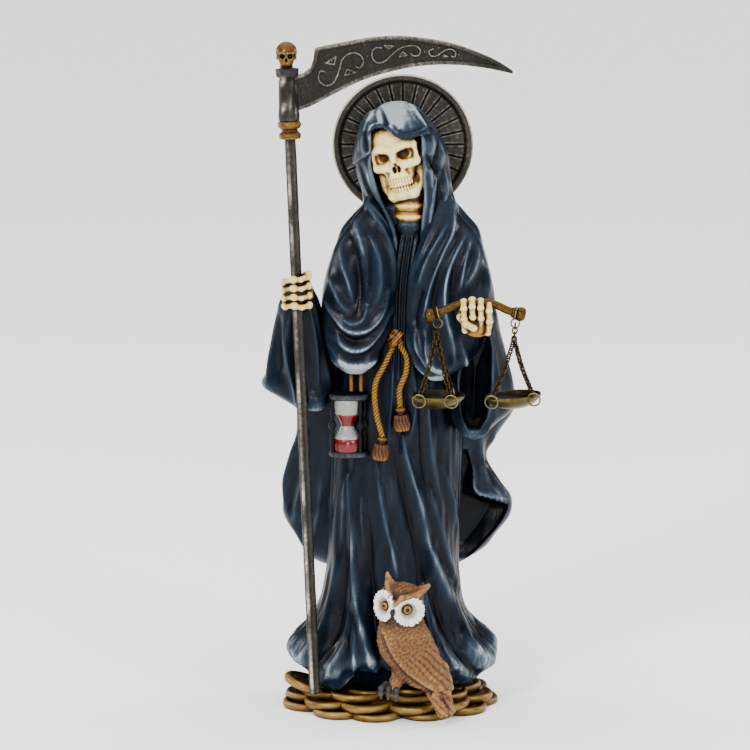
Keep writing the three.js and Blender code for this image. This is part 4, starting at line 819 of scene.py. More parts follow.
def on_shaft(height):
    """Point on the shaft's middle line at a height."""
    return FOOT + (GRIP - FOOT) * (height - FOOT[2]) / (GRIP[2] - FOOT[2])


def shaft_hand(points):
    """Right hand: four fingers stacked round the shaft, the thumb's tip above them, and the wrist."""
    total = np.full(points.shape[:-1], 99.0)
    for finger in range(4):
        height = GRIP[2] + 4.6 - 3.8 * finger
        middle = on_shaft(height)
        sag = (0.9, 0.3, -0.3, -1.0)[finger]
        knots = [middle + np.array(step, float) for step in
                 ((-5.6, 3.4, -sag), (-5.3, -1.2, -0.6 - sag * 0.5), (-1.8, -4.6, 0.5),
                  (2.0, -4.6, 0.1 + sag * 0.4), (5.0, -1.6, 1.0 + sag * 0.6), (5.2, 3.2, 0.8 + sag * 0.5))]
        for start, end in zip(knots[:-1], knots[1:]):
            total = joined(total, bar(points, start, end, 1.15), 0.4)
        for knot in (knots[1], knots[2] + (0.6, 0, 0), knots[4]):
            total = joined(total, ellipsoid(points, knot, (1.7, 1.8, 1.75)), 0.6)
    thumb = on_shaft(GRIP[2] + 7)
    total = joined(total, bar(points, thumb + (2.0, 1, -1.4), thumb + (5.4, -1.6, 0.6), 1.2, 1.4), 0.6)
    palm = on_shaft(GRIP[2])
    total = joined(total, ellipsoid(points, palm + (-0.3, 0.2, -1.0), (5.0, 4.4, 7.2)), 0.4)
    total = joined(total, bar(points, palm + (3.4, 4.5, 3), palm + (3.4, 5, -6), 2.4), 1.0)
    total = joined(total, bar(points, palm + (3.6, 5, -1), palm + (5.0, 15, -9), 3.0), 1.5)
    return total


def scale_hand(points):
    """Left hand: a fist over the beam, knuckles on top and the finger ends folded in below."""
    total = np.full(points.shape[:-1], 99.0)
    for finger in range(4):
        x = 32.3 + 3.6 * finger
        top = (188.6, 189.4, 188.9, 187.6)[finger]
        knots = [(x + 0.5, -38, top - 2.6), (x, -45.4, top - 0.3), (x - 0.1, -49.6, top - 2.8),
                 (x + 0.1, -50.2, top - 7.2), (x + 0.0, -49.0, top - 9.2), (x - 0.35 * (finger - 1.5), -47.4,
                                                                            top - 12.6)]
        for start, end, radius in zip(knots[:-1], knots[1:], (1.4, 1.3, 1.2, 1.15, 1.2)):
            total = joined(total, bar(points, start, end, radius), 0.3)
        for knot, size in ((knots[1], 1.7), (knots[2], 1.6), (knots[3], 1.6), (knots[5], 1.4)):
            total = joined(total, ellipsoid(points, knot, (size, size, size * 0.85)), 0.35)
    thumb = [(32.0, -40, 183), (30.9, -46.5, 181.8), (33.2, -50.4, 179.4), (36.6, -50.8, 177.6)]
    for start, end in zip(thumb[:-1], thumb[1:]):
        total = joined(total, bar(points, start, end, 1.75, 1.5), 0.6)
    heel = ellipsoid(points, (38.2, -44.0, 178.4), (6.4, 5.4, 5.6))
    total = joined(total, heel, 0.5)
    wrist = bar(points, (39.5, -38, 180), (40, -18, 181), 5.0, 4.6)
    return joined(total, wrist, 2.5)


piece("shaft_hand", netted(shaft_hand, (-51, -36, 174), (-19, -5, 205), 0.38), bone_paint,
      tint=-0.58, carved=1.0)
piece("scale_hand", netted(scale_hand, (28, -54, 171), (50, -14, 197), 0.38), bone_paint,
      tint=-0.62, carved=1.0)


# Skull and neck: one resin casting set into the hood, leaning to one side, ivory with a brown wash and
# painted shade.
# Brow, cheekbones, jaw and teeth stand out of it, and its bed fills the hood behind them.
SKULL_PLACE = np.array([4.2, -10.5, 248.3])
LEAN, TURN = 0.24, -0.21
TO_SKULL = (np.array([[math.cos(TURN), math.sin(TURN), 0], [-math.sin(TURN), math.cos(TURN), 0], [0, 0, 1]])
            @ np.array([[math.cos(LEAN), 0, math.sin(LEAN)], [0, 1, 0],
                        [-math.sin(LEAN), 0, math.cos(LEAN)]]))


def in_skull(points):
    """The skull's own frame: to its left as seen from the front, out of the face, and up."""
    turned = (points - SKULL_PLACE) @ TO_SKULL.T
    return turned * [1, -1, 1]


def both(points):
    """Folds the two sides of the face onto one."""
    return np.concatenate([np.abs(points[..., :1]), points[..., 1:]], axis=-1)


# Middle and half sizes of an eye socket, and the step between two teeth round the jaw's arch.
EYE, EYE_HALVES = (5.3, 11.2, 0.6), (3.35, 4.1, 2.4)
TOOTH_STEP = 0.235


def skull_field(points):
    own = in_skull(points)
    half = both(own)
    skin = ellipsoid(own, (0, -1.0, 4.4), (11.2, 11.8, 10.6))
    skin = joined(skin, ellipsoid(own, (0, 3.4, -2.2), (9.0, 6.8, 7.4)), 3.0)
    skin = joined(skin, ellipsoid(own, (-0.3, 0.4, 6.6), (11.6, 10.4, 9.0)), 1.5)
    # Temples are pressed in, so the brow and cheekbones stand out.
    skin = cut(skin, ellipsoid(half, (13.8, 4.8, 3.4), (3.8, 5.2, 5.0)), 2.4)
    brow_bar = np.minimum(bar(half, (1.6, 9.9, 3.7), (6.0, 9.4, 4.7), 1.0),
                          bar(half, (6.0, 9.4, 4.7), (9.4, 6.2, 3.8), 1.0))
    skin = joined(skin, brow_bar, 2.4)
    cheek = np.minimum(bar(half, (4.6, 9.0, -4.0), (8.8, 6.6, -3.6), 1.9),
                       bar(half, (8.8, 6.6, -3.6), (10.6, 0.5, -2.4), 1.6))
    skin = joined(skin, cheek, 1.6)
    skin = joined(skin, bar(half, (9.4, 6.8, 4.4), (9.2, 6.4, -3.0), 1.2), 1.2)
    upper_jaw = ellipsoid(own, (0, 5.0, -8.0), (6.3, 5.4, 4.4))
    skin = joined(skin, upper_jaw, 1.8)
    ramus = bar(half, (8.6, 0.8, -5.0), (7.9, 1.8, -13.4), 1.7, 2.1)
    lower = np.minimum(ramus, bar(half, (7.9, 1.8, -13.4), (4.4, 6.8, -16.8), 2.1, 2.2))
    lower = joined(lower, bar(half, (0, 8.0, -16.8), (4.4, 6.8, -16.8), 2.3), 1.5)
    lower = joined(lower, ellipsoid(own, (0, 5.0, -14.8), (6.2, 4.8, 3.2)), 1.5)
    skin = joined(skin, lower, 0.7)
    skin = joined(skin, bar(own, (0, 9.6, 2.8), (0, 12.0, -1.8), 1.35, 1.1), 1.5)
    # Hollows: eyes with a slanted upper edge, nose, cheeks, and the gap behind the teeth.
    slanted = half[..., 2] - 2.45 - 0.16 * (half[..., 0] - 5.2)
    eye = ellipsoid(half, EYE, EYE_HALVES)
    skin = cut(skin, np.maximum(eye, slanted), 0.6)
    nostril = np.minimum(ellipsoid(half, (0.95, 11.2, -5.3), (1.05, 3.8, 1.8)),
                         ellipsoid(own, (0, 11.8, -3.8), (0.95, 3.2, 2.0)))
    skin = cut(skin, nostril, 0.4)
    skin = cut(skin, ellipsoid(half, (7.2, 8.0, -10.4), (1.5, 5.0, 4.0)), 0.8)
    skin = cut(skin, bar(half, (4.6, 9.4, -6.6), (5.4, 8.2, -8.2), 1.0), 0.8)
    skin = cut(skin, ellipsoid(own, (0, 7.4, -13.0), (6.0, 5.2, 0.75)), 0.4)
    for tooth in range(10):
        way = (tooth - 4.5) * TOOTH_STEP
        root = np.array([5.3 * math.sin(way), 4.7 + 5.2 * math.cos(way)])
        upper = bar(own, (*root, -9.9), (*(root * [1, 1.01]), -12.5), 0.7, 0.64)
        skin = joined(skin, upper, 0.25)
        lower_tooth = bar(own, (*(root * [0.97, 0.97]), -13.5), (*(root * [0.96, 0.97]), -15.3), 0.62)
        skin = joined(skin, lower_tooth, 0.25)
    # Neck: stacked bones on one core, down to the collar.
    skin = joined(skin, bar(points, (8.6, -10.4, 236), (9.8, -10.6, 217), 6.35), 0.8)
    for height, radius in ((231.0, 6.4), (226.4, 6.7), (221.4, 6.9)):
        centre = np.array([9.9 - 0.06 * (height - 216.5), -10.6, height])
        skin = joined(skin, ellipsoid(points, centre, (radius, radius, 2.8)), 0.5)
    # The casting's bed fills the hood behind the jaw and the neck.
    bed = np.minimum(ellipsoid(points, (6.0, 1.5, 240), (12.5, 7.5, 26)),
                     ellipsoid(points, (3.6, 0, 247), (12.6, 9.5, 24)))
    return joined(skin, bed, 0.4)


def bone_pits(points, normals):
    """Fine pits of bone."""
    return 0.03 * wobble(points, 2.2, 5) + 0.015 * wobble(points, 1.0, 6)


skull_skin = pressed(netted(skull_field, (-10, -25, 214), (20, 4, 265), 0.41), bone_pits)
own = in_skull(skull_skin[0])
# Brown wash and painted shade at the top of the forehead under the hood's brow, on the temples, down the neck
# below the jaw and on the bed behind it, deep in the hood.
side, out, up = np.abs(own[:, 0]), own[:, 1], own[:, 2]
stain_and_shade = 0.5 * np.clip((up - 11.2) / 3, 0, 1) + 0.5 * np.clip((side - 9.0) / 3, 0, 1) * (up > -1)
y, z = skull_skin[0][:, 1], skull_skin[0][:, 2]
stain_and_shade += 0.3 * np.clip((234 - z) / 4, 0, 1) + 0.75 * np.clip((y + 8.5) / 2, 0, 1)
# Sockets: olive inside a thin dark line, with painted shade that deepens towards their top, under the brow.
eye_gap = np.hypot((side - EYE[0]) / EYE_HALVES[0], (up - EYE[2]) / EYE_HALVES[2])
facing = out > 3
stain_and_shade += facing * (0.6 * np.exp(-((eye_gap - 1.0) / 0.2) ** 2)
                   + (eye_gap < 0.95) * (0.1 + 0.4 * np.clip((up - 0.2) / 2.4, -0.5, 1)))
# Teeth: a thin brown line between each two and between the rows.
way = np.arctan2(own[:, 0], out - 4.7) / TOOTH_STEP
gap = np.abs(way - np.round(way)) * 1.25
row = (up < -9.2) & (up > -15.4) & (np.abs(way) < 5) & (out > 5)
stain_and_shade += row * (0.8 * np.exp(-(gap / 0.16) ** 2) + 0.9 * np.exp(-((up + 13.0) / 0.35) ** 2))
for height in (228.7, 224.0, 219.0):
    stain_and_shade += 0.55 * np.exp(-((z - height) / 0.4) ** 2)
tint = 0.08 - np.clip(stain_and_shade, -0.4, 1.1)
piece("skull_bones", skull_skin, bone_paint, ["skull"], tint=tint, carved=0.75)


# Halo: a flat resin disc behind the hood, painted as dark pewter, rubbed bright on its edges and given a
# painted highlight along the top of its rim.
# Straight grooves run out from its middle like rays, to a plain raised rim.
pewter_paint = painted("pewter_paint", [(0.0, "#020202"), (0.3, "#090807"), (0.5, "#181714"),
                                        (0.68, "#302d29"), (0.86, "#69645a"), (1.0, "#ada491")],
                       roughness=0.42, break_up=0.26, grain_size=0.5, bump=0.1, metallic=0.2, specular=0.1)
HALO_CENTRE = np.array([6.5, 14.5, 250.6])
HALO_RADIUS, HALO_THICK, HALO_RIM = 31.2, 2.6, 3.0
HALO_GROOVES = 28
HALO_STEPS = 532


def disc_grid(radii, steps):
    """Radius and turn of each point of a round grid."""
    turn = np.linspace(0, 2 * math.pi, steps, endpoint=False)
    return np.meshgrid(radii, turn, indexing="ij")


radii = np.concatenate([np.linspace(4, HALO_RADIUS - HALO_RIM - 0.6, 36),
                        np.linspace(HALO_RADIUS - HALO_RIM - 0.5, HALO_RADIUS, 18)])
radius, turn = disc_grid(radii, HALO_STEPS)
inner = HALO_RADIUS - HALO_RIM
rim = np.clip((radius - inner) / 0.5, 0, 1)
rim *= 1 - 0.35 * np.clip((radius - HALO_RADIUS + 0.8) / 0.8, 0, 1) ** 2
beat = turn * HALO_GROOVES / (2 * math.pi)
off_groove = np.abs((beat + 0.5) % 1 - 0.5) * 2 * math.pi / HALO_GROOVES * radius
groove = np.exp(-(off_groove / 0.26) ** 2) * (1 - np.clip((radius - inner + 0.6) / 0.5, 0, 1))
groove = np.maximum(groove, np.exp(-((radius - inner + 0.7) / 0.35) ** 2) * 0.9)
lit_edge = np.exp(-((off_groove - 0.75) / 0.3) ** 2) * 0.22 * (radius < inner - 0.7)
flat = np.stack([radius * np.cos(turn), radius * np.sin(turn), np.zeros_like(radius)], axis=-1)
pits = 0.1 * wobble(flat, 1.6, 11) + 0.08 * wobble(flat, 3.1, 12)
height = HALO_THICK / 2 - 0.75 + 0.75 * rim - 0.5 * groove + lit_edge + pits * (1 - 0.7 * rim)
front = np.stack([HALO_CENTRE[0] + radius * np.cos(turn), HALO_CENTRE[1] - height,
                  HALO_CENTRE[2] - radius * np.sin(turn)], axis=-1)
back_radii = np.array([HALO_RADIUS, HALO_RADIUS - 0.3, HALO_RADIUS - 0.9, 20, 4])
back_height = np.array([0.3, -0.9, -1.3, -1.3, -1.3])
radius, turn = disc_grid(back_radii, HALO_STEPS)
behind = np.stack([HALO_CENTRE[0] + radius * np.cos(turn), HALO_CENTRE[1] - back_height[:, None] + 0 * radius,
                   HALO_CENTRE[2] - radius * np.sin(turn)], axis=-1)
points, faces = lofted(np.concatenate([front, behind]))
# The rim's edge is rubbed bright, and a painted highlight makes it brightest at the top and left, where the
# light falls.
radius = np.hypot(points[:, 0] - HALO_CENTRE[0], points[:, 2] - HALO_CENTRE[2])
high = (points[:, 2] - HALO_CENTRE[2] - 0.4 * (points[:, 0] - HALO_CENTRE[0])) / HALO_RADIUS
worn = np.clip((radius - HALO_RADIUS + 0.85) / 0.35, 0, 1) * np.clip(0.5 + 0.75 * high, 0.05, 1.3)
marks = np.zeros(len(points))
marks[:groove.size] = (-1.1 * groove + 1.0 * lit_edge).ravel() + 0.27
piece("halo_disc", (points, faces), pewter_paint, ["halo"], tint=worn + marks, carved=0.3)


# Scythe: shaft, socket, blade and skull finial are one resin casting, pushed through the fist.
# The shaft's foot stands on the coins; all but the gold collar and finial is painted as dark pewter.
def swept(path, radius, around=20):
    """Rings of a round bar along a path whose radius may change; closed by lofted()."""
    path = np.asarray(path, float)
    radius = np.broadcast_to(np.asarray(radius, float), len(path))
    ahead = np.gradient(path, axis=0)
    ahead /= np.linalg.norm(ahead, axis=1, keepdims=True)
    side = np.cross(ahead[0], (0, 1, 0) if abs(ahead[0][1]) < 0.9 else (1, 0, 0))
    rings = []
    turn = np.linspace(0, 2 * math.pi, around, endpoint=False)
    for spot, direction, size in zip(path, ahead, radius):
        side = side - direction * (side @ direction)
        side /= np.linalg.norm(side)
        other = np.cross(direction, side)
        rings.append(spot + size * (np.cos(turn)[:, None] * side + np.sin(turn)[:, None] * other))
    return np.array(rings)


def turned_on(start, end, outline, around=40):
    """Rings of a turned piece between two points; the outline gives distance along and radius, in mm."""
    start, end = np.asarray(start, float), np.asarray(end, float)
    direction = (end - start) / np.linalg.norm(end - start)
    outline = np.asarray(outline, float)
    return swept([start + direction * step for step in outline[:, 0]], outline[:, 1], around)


def outline_through(rows, count):
    """Evenly spaced distances with their radii, on the smooth outline through a few."""
    rows = np.asarray(rows, float)
    return along(np.column_stack([rows[:, 0], rows]), np.linspace(rows[0, 0], rows[-1, 0], count))


# Old gold paint of the collar and the finial.
gold_paint = painted("gold_paint", [(0.0, "#0b0300"), (0.35, "#281000"), (0.55, "#3f2300"), (0.75, "#4f3200"),
                                    (0.92, "#5c4708"), (1.0, "#625734")],
                     roughness=0.36, coat=0.15, break_up=0.25, grain_size=0.5, bump=0.07, metallic=0.45)
shaft_path = np.array([on_shaft(height) for height in np.linspace(10.8, 265, 200)])
shaft_rings = swept(shaft_path, 2.4, 24)
outward = grid_normals(shaft_rings)
shaft_rings += outward * (0.05 * wobble(shaft_rings * [1, 1, 0.12], 1.4, 21))[..., None]
# The shaft is dark, with one long painted highlight down its left side, where it faces the key light, and a
# weaker one on its right front.
streak = np.clip((outward @ np.array([-0.5, -0.86, 0]) - 0.88) / 0.1, 0, 1)
streak *= np.clip(0.7 + 0.3 * wobble(shaft_rings * [0.4, 0, 1], 17, 24), 0.2, 1)
right_highlight = np.clip((outward @ np.array([0.62, -0.78, 0]) - 0.9) / 0.1, 0, 1)
tint = capped(0.95 * streak + 0.3 * right_highlight - 0.16)
piece("shaft", lofted(shaft_rings), pewter_paint, ["scythe"], tint=tint, carved=0.35)
COLLAR = [(0, 2.4), (0.3, 3.9), (1.2, 4.6), (2.4, 4.7), (3.1, 4.1), (3.6, 3.6), (4.4, 3.6), (4.9, 4.3),
          (5.8, 4.9), (7.2, 4.9), (8.0, 4.2), (8.3, 3.4)]
collar = turned_on(on_shaft(256.4), on_shaft(300), outline_through(COLLAR, 44), 40)
piece("scythe_collar", lofted(collar), gold_paint)
SOCKET = [(0, 4.4), (1.0, 4.5), (6, 4.25), (12, 4.0), (17, 3.75), (18.5, 3.7), (19.0, 4.6), (20.0, 4.85),
          (21.6, 4.85), (22.4, 4.5), (22.6, 3.0)]
socket = turned_on(on_shaft(264.6), on_shaft(300), outline_through(SOCKET, 80), 40)
socket += grid_normals(socket) * (0.05 * wobble(socket * [1, 1, 0.4], 2.2, 22))[..., None]
worn = np.clip(0.5 * wobble(socket * [1, 1, 0.3], 3.0, 25) - 0.1, -0.2, 0.7)
piece("scythe_socket", lofted(socket), pewter_paint, tint=capped(worn), carved=0.5)

# Finial: a small skull on the socket, gold with a dark wash.
FINIAL = on_shaft(292.3)


def finial_field(points):
    own = (points - FINIAL) * [1, -1, 1]
    half = both(own)
    skin = ellipsoid(own, (0, 0, 1.8), (4.6, 4.7, 4.5))
    skin = joined(skin, ellipsoid(own, (0, 1.6, -1.8), (3.2, 3.0, 3.2)), 1.0)
    skin = joined(skin, bar(half, (2.2, 3.0, -0.9), (3.7, 1.6, -0.6), 0.8), 0.7)
    skin = joined(skin, bar(half, (0.9, 4.4, 1.3), (3.1, 3.6, 1.7), 0.6), 0.6)
    skin = cut(skin, ellipsoid(half, (1.75, 4.4, 0.1), (1.15, 1.9, 1.05)), 0.3)
    skin = cut(skin, ellipsoid(own, (0, 4.9, -1.5), (0.6, 1.6, 0.9)), 0.3)
    for tooth in range(5):
        skin = cut(skin, bar(own, (-1.6 + 0.8 * tooth, 5.2, -2.6), (-1.6 + 0.8 * tooth, 4.6, -4.4), 0.2), 0.2)
    skin = cut(skin, bar(own, (-2.4, 5.2, -3.5), (2.4, 5.2, -3.5), 0.24), 0.3)
    return joined(skin, bar(own, (0, 0, -6.2), (0, 0, -3.2), 3.2, 2.6), 0.8)


piece("scythe_finial", netted(finial_field, tuple(FINIAL - [6, 6, 7.2]), tuple(FINIAL + [6, 6, 7.4]), 0.28),
      gold_paint)

# Blade: its face has a raised border round a pitted field with three scrolls and small leaves.
BLADE_PLANE, BLADE_THICK = -28.3, 3.2
BLADE_START = on_shaft(287.4)[0]


BACK_EDGE = [(0.0, 9.6), (0.05, 7.6), (0.122, 5.3), (0.245, 2.8), (0.367, 0.7), (0.489, 0), (0.612, 1),
             (0.734, 3.2), (0.856, 7.4), (0.94, 11.2), (1, 15)]
CUTTING_EDGE = [(0, 33.6), (0.105, 30.1), (0.206, 25), (0.328, 19.3), (0.451, 15.5), (0.573, 13.1),
                (0.696, 12.3), (0.818, 13), (0.9, 14.1), (0.99, 16)]
NOTCH = [(0, 17), (0.035, 17.2), (0.075, 15.8), (0.105, 13.4), (0.117, 10), (0.1222, 6.2), (0.1235, 5.3)]
SCROLLS = [
    [(-27.3, 285.6), (-28.9, 286.1), (-30.1, 284.1), (-29.4, 281.4), (-26.9, 279.8), (-24.1, 280.6),
     (-22.1, 283.7), (-20.9, 287.3), (-19.7, 291.1), (-17.4, 293.2), (-14.2, 293.8), (-11.4, 292.1),
     (-10.9, 289.3), (-12.6, 287.3), (-14.0, 287.9)],
    [(-2.9, 295.9), (-5.3, 296.0), (-7.1, 294.0), (-6.7, 291.3), (-4.7, 289.5), (-1.5, 290.3), (1.7, 293.2),
     (4.8, 295.6), (8.8, 296.8), (12.4, 296.4), (13.7, 294.8), (12.8, 292.8), (10.8, 292.5), (9.4, 293.5)],
    [(19.1, 295.5), (17.4, 294.4), (17.9, 292.8), (19.9, 292.3), (22.3, 293.6), (24.6, 295.1), (27.4, 295.2),
     (28.8, 293.6), (28.2, 292.1), (27.0, 292.4)],
]
LEAVES = [
    [(-22.5, 292.2), (-27.0, 289.3), (-23.3, 288.9)], [(-17.8, 286.7), (-18.8, 284.1), (-14.0, 285.5)],
    [(-1.9, 297.0), (0.1, 295.5), (2.3, 296.8)], [(6.0, 294.3), (4.7, 292.1), (8.0, 292.8)],
    [(23.7, 293.0), (23.5, 292.1), (25.6, 292.2)],
]
BEADS = [(-9.0, 292.3), (15.5, 294.3), (30.0, 293.0), (21.5, 295.9)]
share = np.concatenate([np.linspace(0, 0.13, 50, endpoint=False), np.linspace(0.13, 1, 300)])
top = np.where(share < 0.1235, np.interp(share, *np.array(NOTCH).T), along(BACK_EDGE, share)[:, 0])
low = along(CUTTING_EDGE, share)[:, 0]
low = np.maximum(low, top + 0.5)
across = np.linspace(0, 1, 50)
drop = low[:, None] + (top - low)[:, None] * across[None, :]
x = BLADE_START + 97 * share[:, None] + 0 * drop
z = 301 - drop
flat = np.stack([x, z], axis=-1)


def gap_to(spots, path):
    """Distance from spots to a line through points in the same plane."""
    path = np.asarray(path, float)
    best = np.full(spots.shape[:-1], 1e9)
    for start, end in zip(path[:-1], path[1:]):
        step = end - start
        reach = np.clip((spots - start) @ step / max(step @ step, 1e-9), 0, 1)
        best = np.minimum(best, np.linalg.norm(spots - start - reach[..., None] * step, axis=-1))
    return best


edge = np.concatenate([flat[::4, 0], flat[-1:, 0], flat[::-4, -1], flat[:1, -1], flat[:1, 0]])
inside = gap_to(flat, edge)
field = np.clip((inside - 1.5) / 0.4, 0, 1)
height = -0.55 * field
sharp = gap_to(flat, flat[::4, 0])
height -= 0.9 * np.clip(1 - sharp / 1.6, 0, 1)
height -= 0.25 * np.clip(1 - inside / 0.5, 0, 1)
sunk = field > 0.3


def ridge(gap, reach, top, fall):
    """Height of a rounded ridge at a distance from its middle: its top, less its fall over its reach."""
    return top - fall * np.clip(gap / reach, 0, 1) ** 2


for scroll in SCROLLS:
    gap = gap_to(flat, line_through(scroll, 60))
    height = np.maximum(height, np.where(sunk, ridge(gap, 0.55, 0.12, 0.8), -9))
for leaf in LEAVES:
    from_middle = np.linalg.norm(flat - np.mean(leaf, axis=0), axis=-1)
    gap = np.minimum(gap_to(flat, leaf + leaf[:1]), from_middle * 0.8)
    height = np.maximum(height, np.where(sunk, ridge(gap, 0.5, 0.05, 0.7), -9))
for bead in BEADS:
    height = np.maximum(height, ridge(np.linalg.norm(flat - bead, axis=-1), 0.55, 0.05, 0.7))
spots = np.stack([x, 0 * x, z], axis=-1)
pits = 0.11 * wobble(spots, 1.3, 31) + 0.1 * wobble(spots, 2.6, 32)
front = np.stack([x, BLADE_PLANE - BLADE_THICK / 2 - height - pits * np.clip(inside / 0.6, 0, 1), z], axis=-1)
back_drop = low[:, None] + (top - low)[:, None] * np.linspace(1, 0, 8)[None, :]
edge_back = np.clip(np.minimum(np.linspace(1, 0, 8), np.linspace(0, 1, 8)) * 8, 0, 1)[None, :]
back_y = BLADE_PLANE + BLADE_THICK / 2 - 0.5 * (1 - edge_back) + 0 * back_drop
back = np.stack([x[:, :1] + 0 * back_drop, back_y, 301 - back_drop], axis=-1)
made = lofted(np.concatenate([front, back], axis=1)[:, ::-1])
# The sunk field is washed dark, and what stands up in it is rubbed bright, but less at the point.
raised = np.hstack([np.where(sunk, 1.8 * (height + 0.28), 0.27), np.zeros_like(back_drop)])
raised[:, :50] *= np.clip((0.94 - share) / 0.12, 0, 1)[:, None]
tint = capped(np.clip(raised[:, ::-1], 0.03, 0.5))
piece("scythe_blade", made, pewter_paint, tint=tint, carved=0.4)


# Owl: one casting in front of the skirt, brown with dark washed feathers and white discs round the eyes.
# It sits on the coins with its head to the front and its tail down to the right.
owl_paint = painted("owl_paint", [(0.0, "#0d0402"), (0.28, "#281407"), (0.48, "#482a12"), (0.66, "#624320"),
                                  (0.85, "#84633b"), (1.0, "#a5875a")],
                    roughness=0.62, break_up=0.2, grain_size=0.5, bump=0.08, specular=0.25)
face_paint = painted("face_paint", [(0.0, "#4a3f38"), (0.35, "#988d84"), (0.55, "#cfc8c0"), (1.0, "#f3efea")],
                     roughness=0.6, break_up=0.15, grain_size=0.5, bump=0.05)
OWL = [
    (14.5, 16.5, 25.5, -39.5, -31), (16.5, 10.5, 26.6, -42.2, -28.5), (20, 5.2, 26.4, -43.6, -27),
    (24, 1.7, 25, -44.4, -26), (30, -3.0, 22.7, -44.8, -25), (36, -4.9, 20.2, -44.6, -25),
    (41, -4.7, 18, -43.9, -26), (46, -3.9, 15.8, -42.7, -27), (50, -4.6, 15.7, -42.6, -27),
    (55, -5.0, 15.6, -42.6, -27.5), (59, -3.6, 15, -41.8, -28.5), (61.6, -1, 12, -40, -30.5),
    (63.0, 2, 8.5, -37.6, -33),
]
# The wing lies over the body, on the right of this line.
WING_EDGE = [(-2.6, 40.5), (-0.6, 35.0), (2.6, 29.6), (7.8, 23.6), (13.2, 19.4), (19.0, 15.5)]


def bent_bar(points, knots, radii, soft):
    """Distance, about, to a bar that bends at its knots and has a radius at each."""
    parts = [bar(points, *ends) for ends in zip(knots[:-1], knots[1:], radii[:-1], radii[1:])]
    total = parts[0]
    for part in parts[1:]:
        total = joined(total, part, soft)
    return total


def owl_field(points):
    z = points[..., 2]
    skin = np.maximum(oval_field(points, OWL, 2.2), np.maximum(z - OWL[-1][0], OWL[0][0] - z))
    ears = np.minimum(bar(points, (1.4, -38.0, 59.8), (-0.4, -37.2, 67.6), 3.2, 0.9),
                      bar(points, (11.4, -39.0, 58.6), (17.7, -37.8, 62.2), 3.0, 1.0))
    skin = joined(skin, ears, 2.6)
    left_brow = [(2.0, -43.9, 54.6), (0.6, -43.0, 58.4), (-0.6, -39.6, 63.5)]
    right_brow = [(2.6, -44.0, 54.8), (6.0, -44.0, 57.8), (12.6, -42.2, 58.9), (16.4, -39.2, 61.2)]
    skin = joined(skin, bent_bar(points, left_brow, (1.2, 1.5, 1.2), 1.0), 1.4)
    skin = joined(skin, bent_bar(points, right_brow, (1.2, 1.5, 1.5, 1.2), 1.0), 1.4)
    tail = np.minimum(bar(points, (18.4, -37.5, 17.5), (24.2, -40.8, 5.8), 3.6, 2.5),
                      bar(points, (22.6, -36.5, 17.5), (27.2, -39.6, 6.6), 3.3, 2.2))
    skin = joined(skin, tail, 1.4)
    skin = joined(skin, bar(points, (22.5, -34.5, 24.0), (26.0, -36.2, 16.6), 3.4, 1.8), 1.6)
    skin = joined(skin, bar(points, (5.0, -37.5, 22.0), (1.6, -39.5, 15.4), 3.6, 2.4), 2.0)
    return np.maximum(skin, 3.7 - z)


def feathers(points, normals):
    """Small pointed feathers on the body, long ones low on the wing and on the tail, fur on the head."""
    x, y, z = points.T
    edge = line_through(WING_EDGE, 30)
    flat = points[:, (0, 2)]
    gap = gap_to(flat, edge)
    right = x > np.interp(-z, -edge[:, 1], edge[:, 0])
    beside = np.where(right, gap, -gap)
    step = 1.3 * np.clip(beside / 1.6, 0, 1) * np.clip((46 - z) / 6, 0, 1) * np.clip((z - 12) / 3, 0, 1)
    valley = -0.7 * np.exp(-((beside + 0.5) / 1.1) ** 2) * np.clip((43 - z) / 6, 0, 1) * (z > 14)
    # Rows of feathers run across a slanted body; each ends in a rounded tip.
    down = (z * 0.93 - (x - 8) * 0.37 + 0.6 * wobble(points, 4.0, 45)) / 1.75
    row = np.floor(down)
    across = (x * 0.93 + z * 0.37 + y * 0.4 + 0.4 * wobble(points, 3.0, 47)) / 1.9
    column = (across + 0.5 * (row % 2)) % 1 - 0.5
    tip = (down % 1) - 0.32 * np.cos(2 * math.pi * column)
    scale = 0.4 * (1 - np.clip(tip + 0.32, 0, 1)) * np.clip((tip + 0.32) * 5, 0, 1)
    scale *= 1 - 1.6 * np.abs(column) ** 2
    long_way = (x * 0.74 + z * 0.67) / 2.3 + 0.12 * wobble(points, 7, 46)
    quill = 0.5 * np.abs(np.sin(long_way * math.pi)) ** 0.6 + 0.07 * wobble(points, 1.2, 41)
    on_wing = np.clip((beside - 2.5) / 3, 0, 1) * np.clip((34 - z + 0.45 * (x - 10)) / 5, 0, 1)
    on_wing = np.maximum(on_wing, np.clip((14.5 - z) / 2, 0, 1) * (x > 14))
    on_head = np.clip((z - 45) / 3, 0, 1)
    hair = 0.07 * wobble(points * [1.2, 1, 0.7], 2.2, 42) + 0.04 * wobble(points, 1.0, 43)
    push = scale * (1 - on_wing) * (1 - on_head) + quill * on_wing * (1 - on_head) + hair * on_head
    facing = np.clip(-normals[:, 1] * 2, 0, 1)
    return push + (step + valley) * facing + 0.06 * wobble(points, 1.1, 44) - 0.2


owl_skin = pressed(netted(owl_field, (-8, -48, 3.2), (32, -23, 70), 0.41), feathers)
piece("owl_body", owl_skin, owl_paint, ["owl"], tint=0.06, carved=0.65)


def domed(centre, facing, spread, up, outline, steps=120):
    """Rings of a shallow dome that faces one way; the outline gives share of the spread, and height."""
    facing = np.array(facing, float) / np.linalg.norm(facing)
    side = np.cross((0, 0, 1), facing)
    side /= np.linalg.norm(side)
    rise = np.cross(facing, side)
    turn = np.linspace(0, 2 * math.pi, steps, endpoint=False)
    rings = []
    for share, height in outline:
        flat = (np.cos(turn)[:, None] * side * spread + np.sin(turn)[:, None] * rise * up) * share
        rings.append(np.array(centre) + flat + facing * height)
    return np.array(rings)


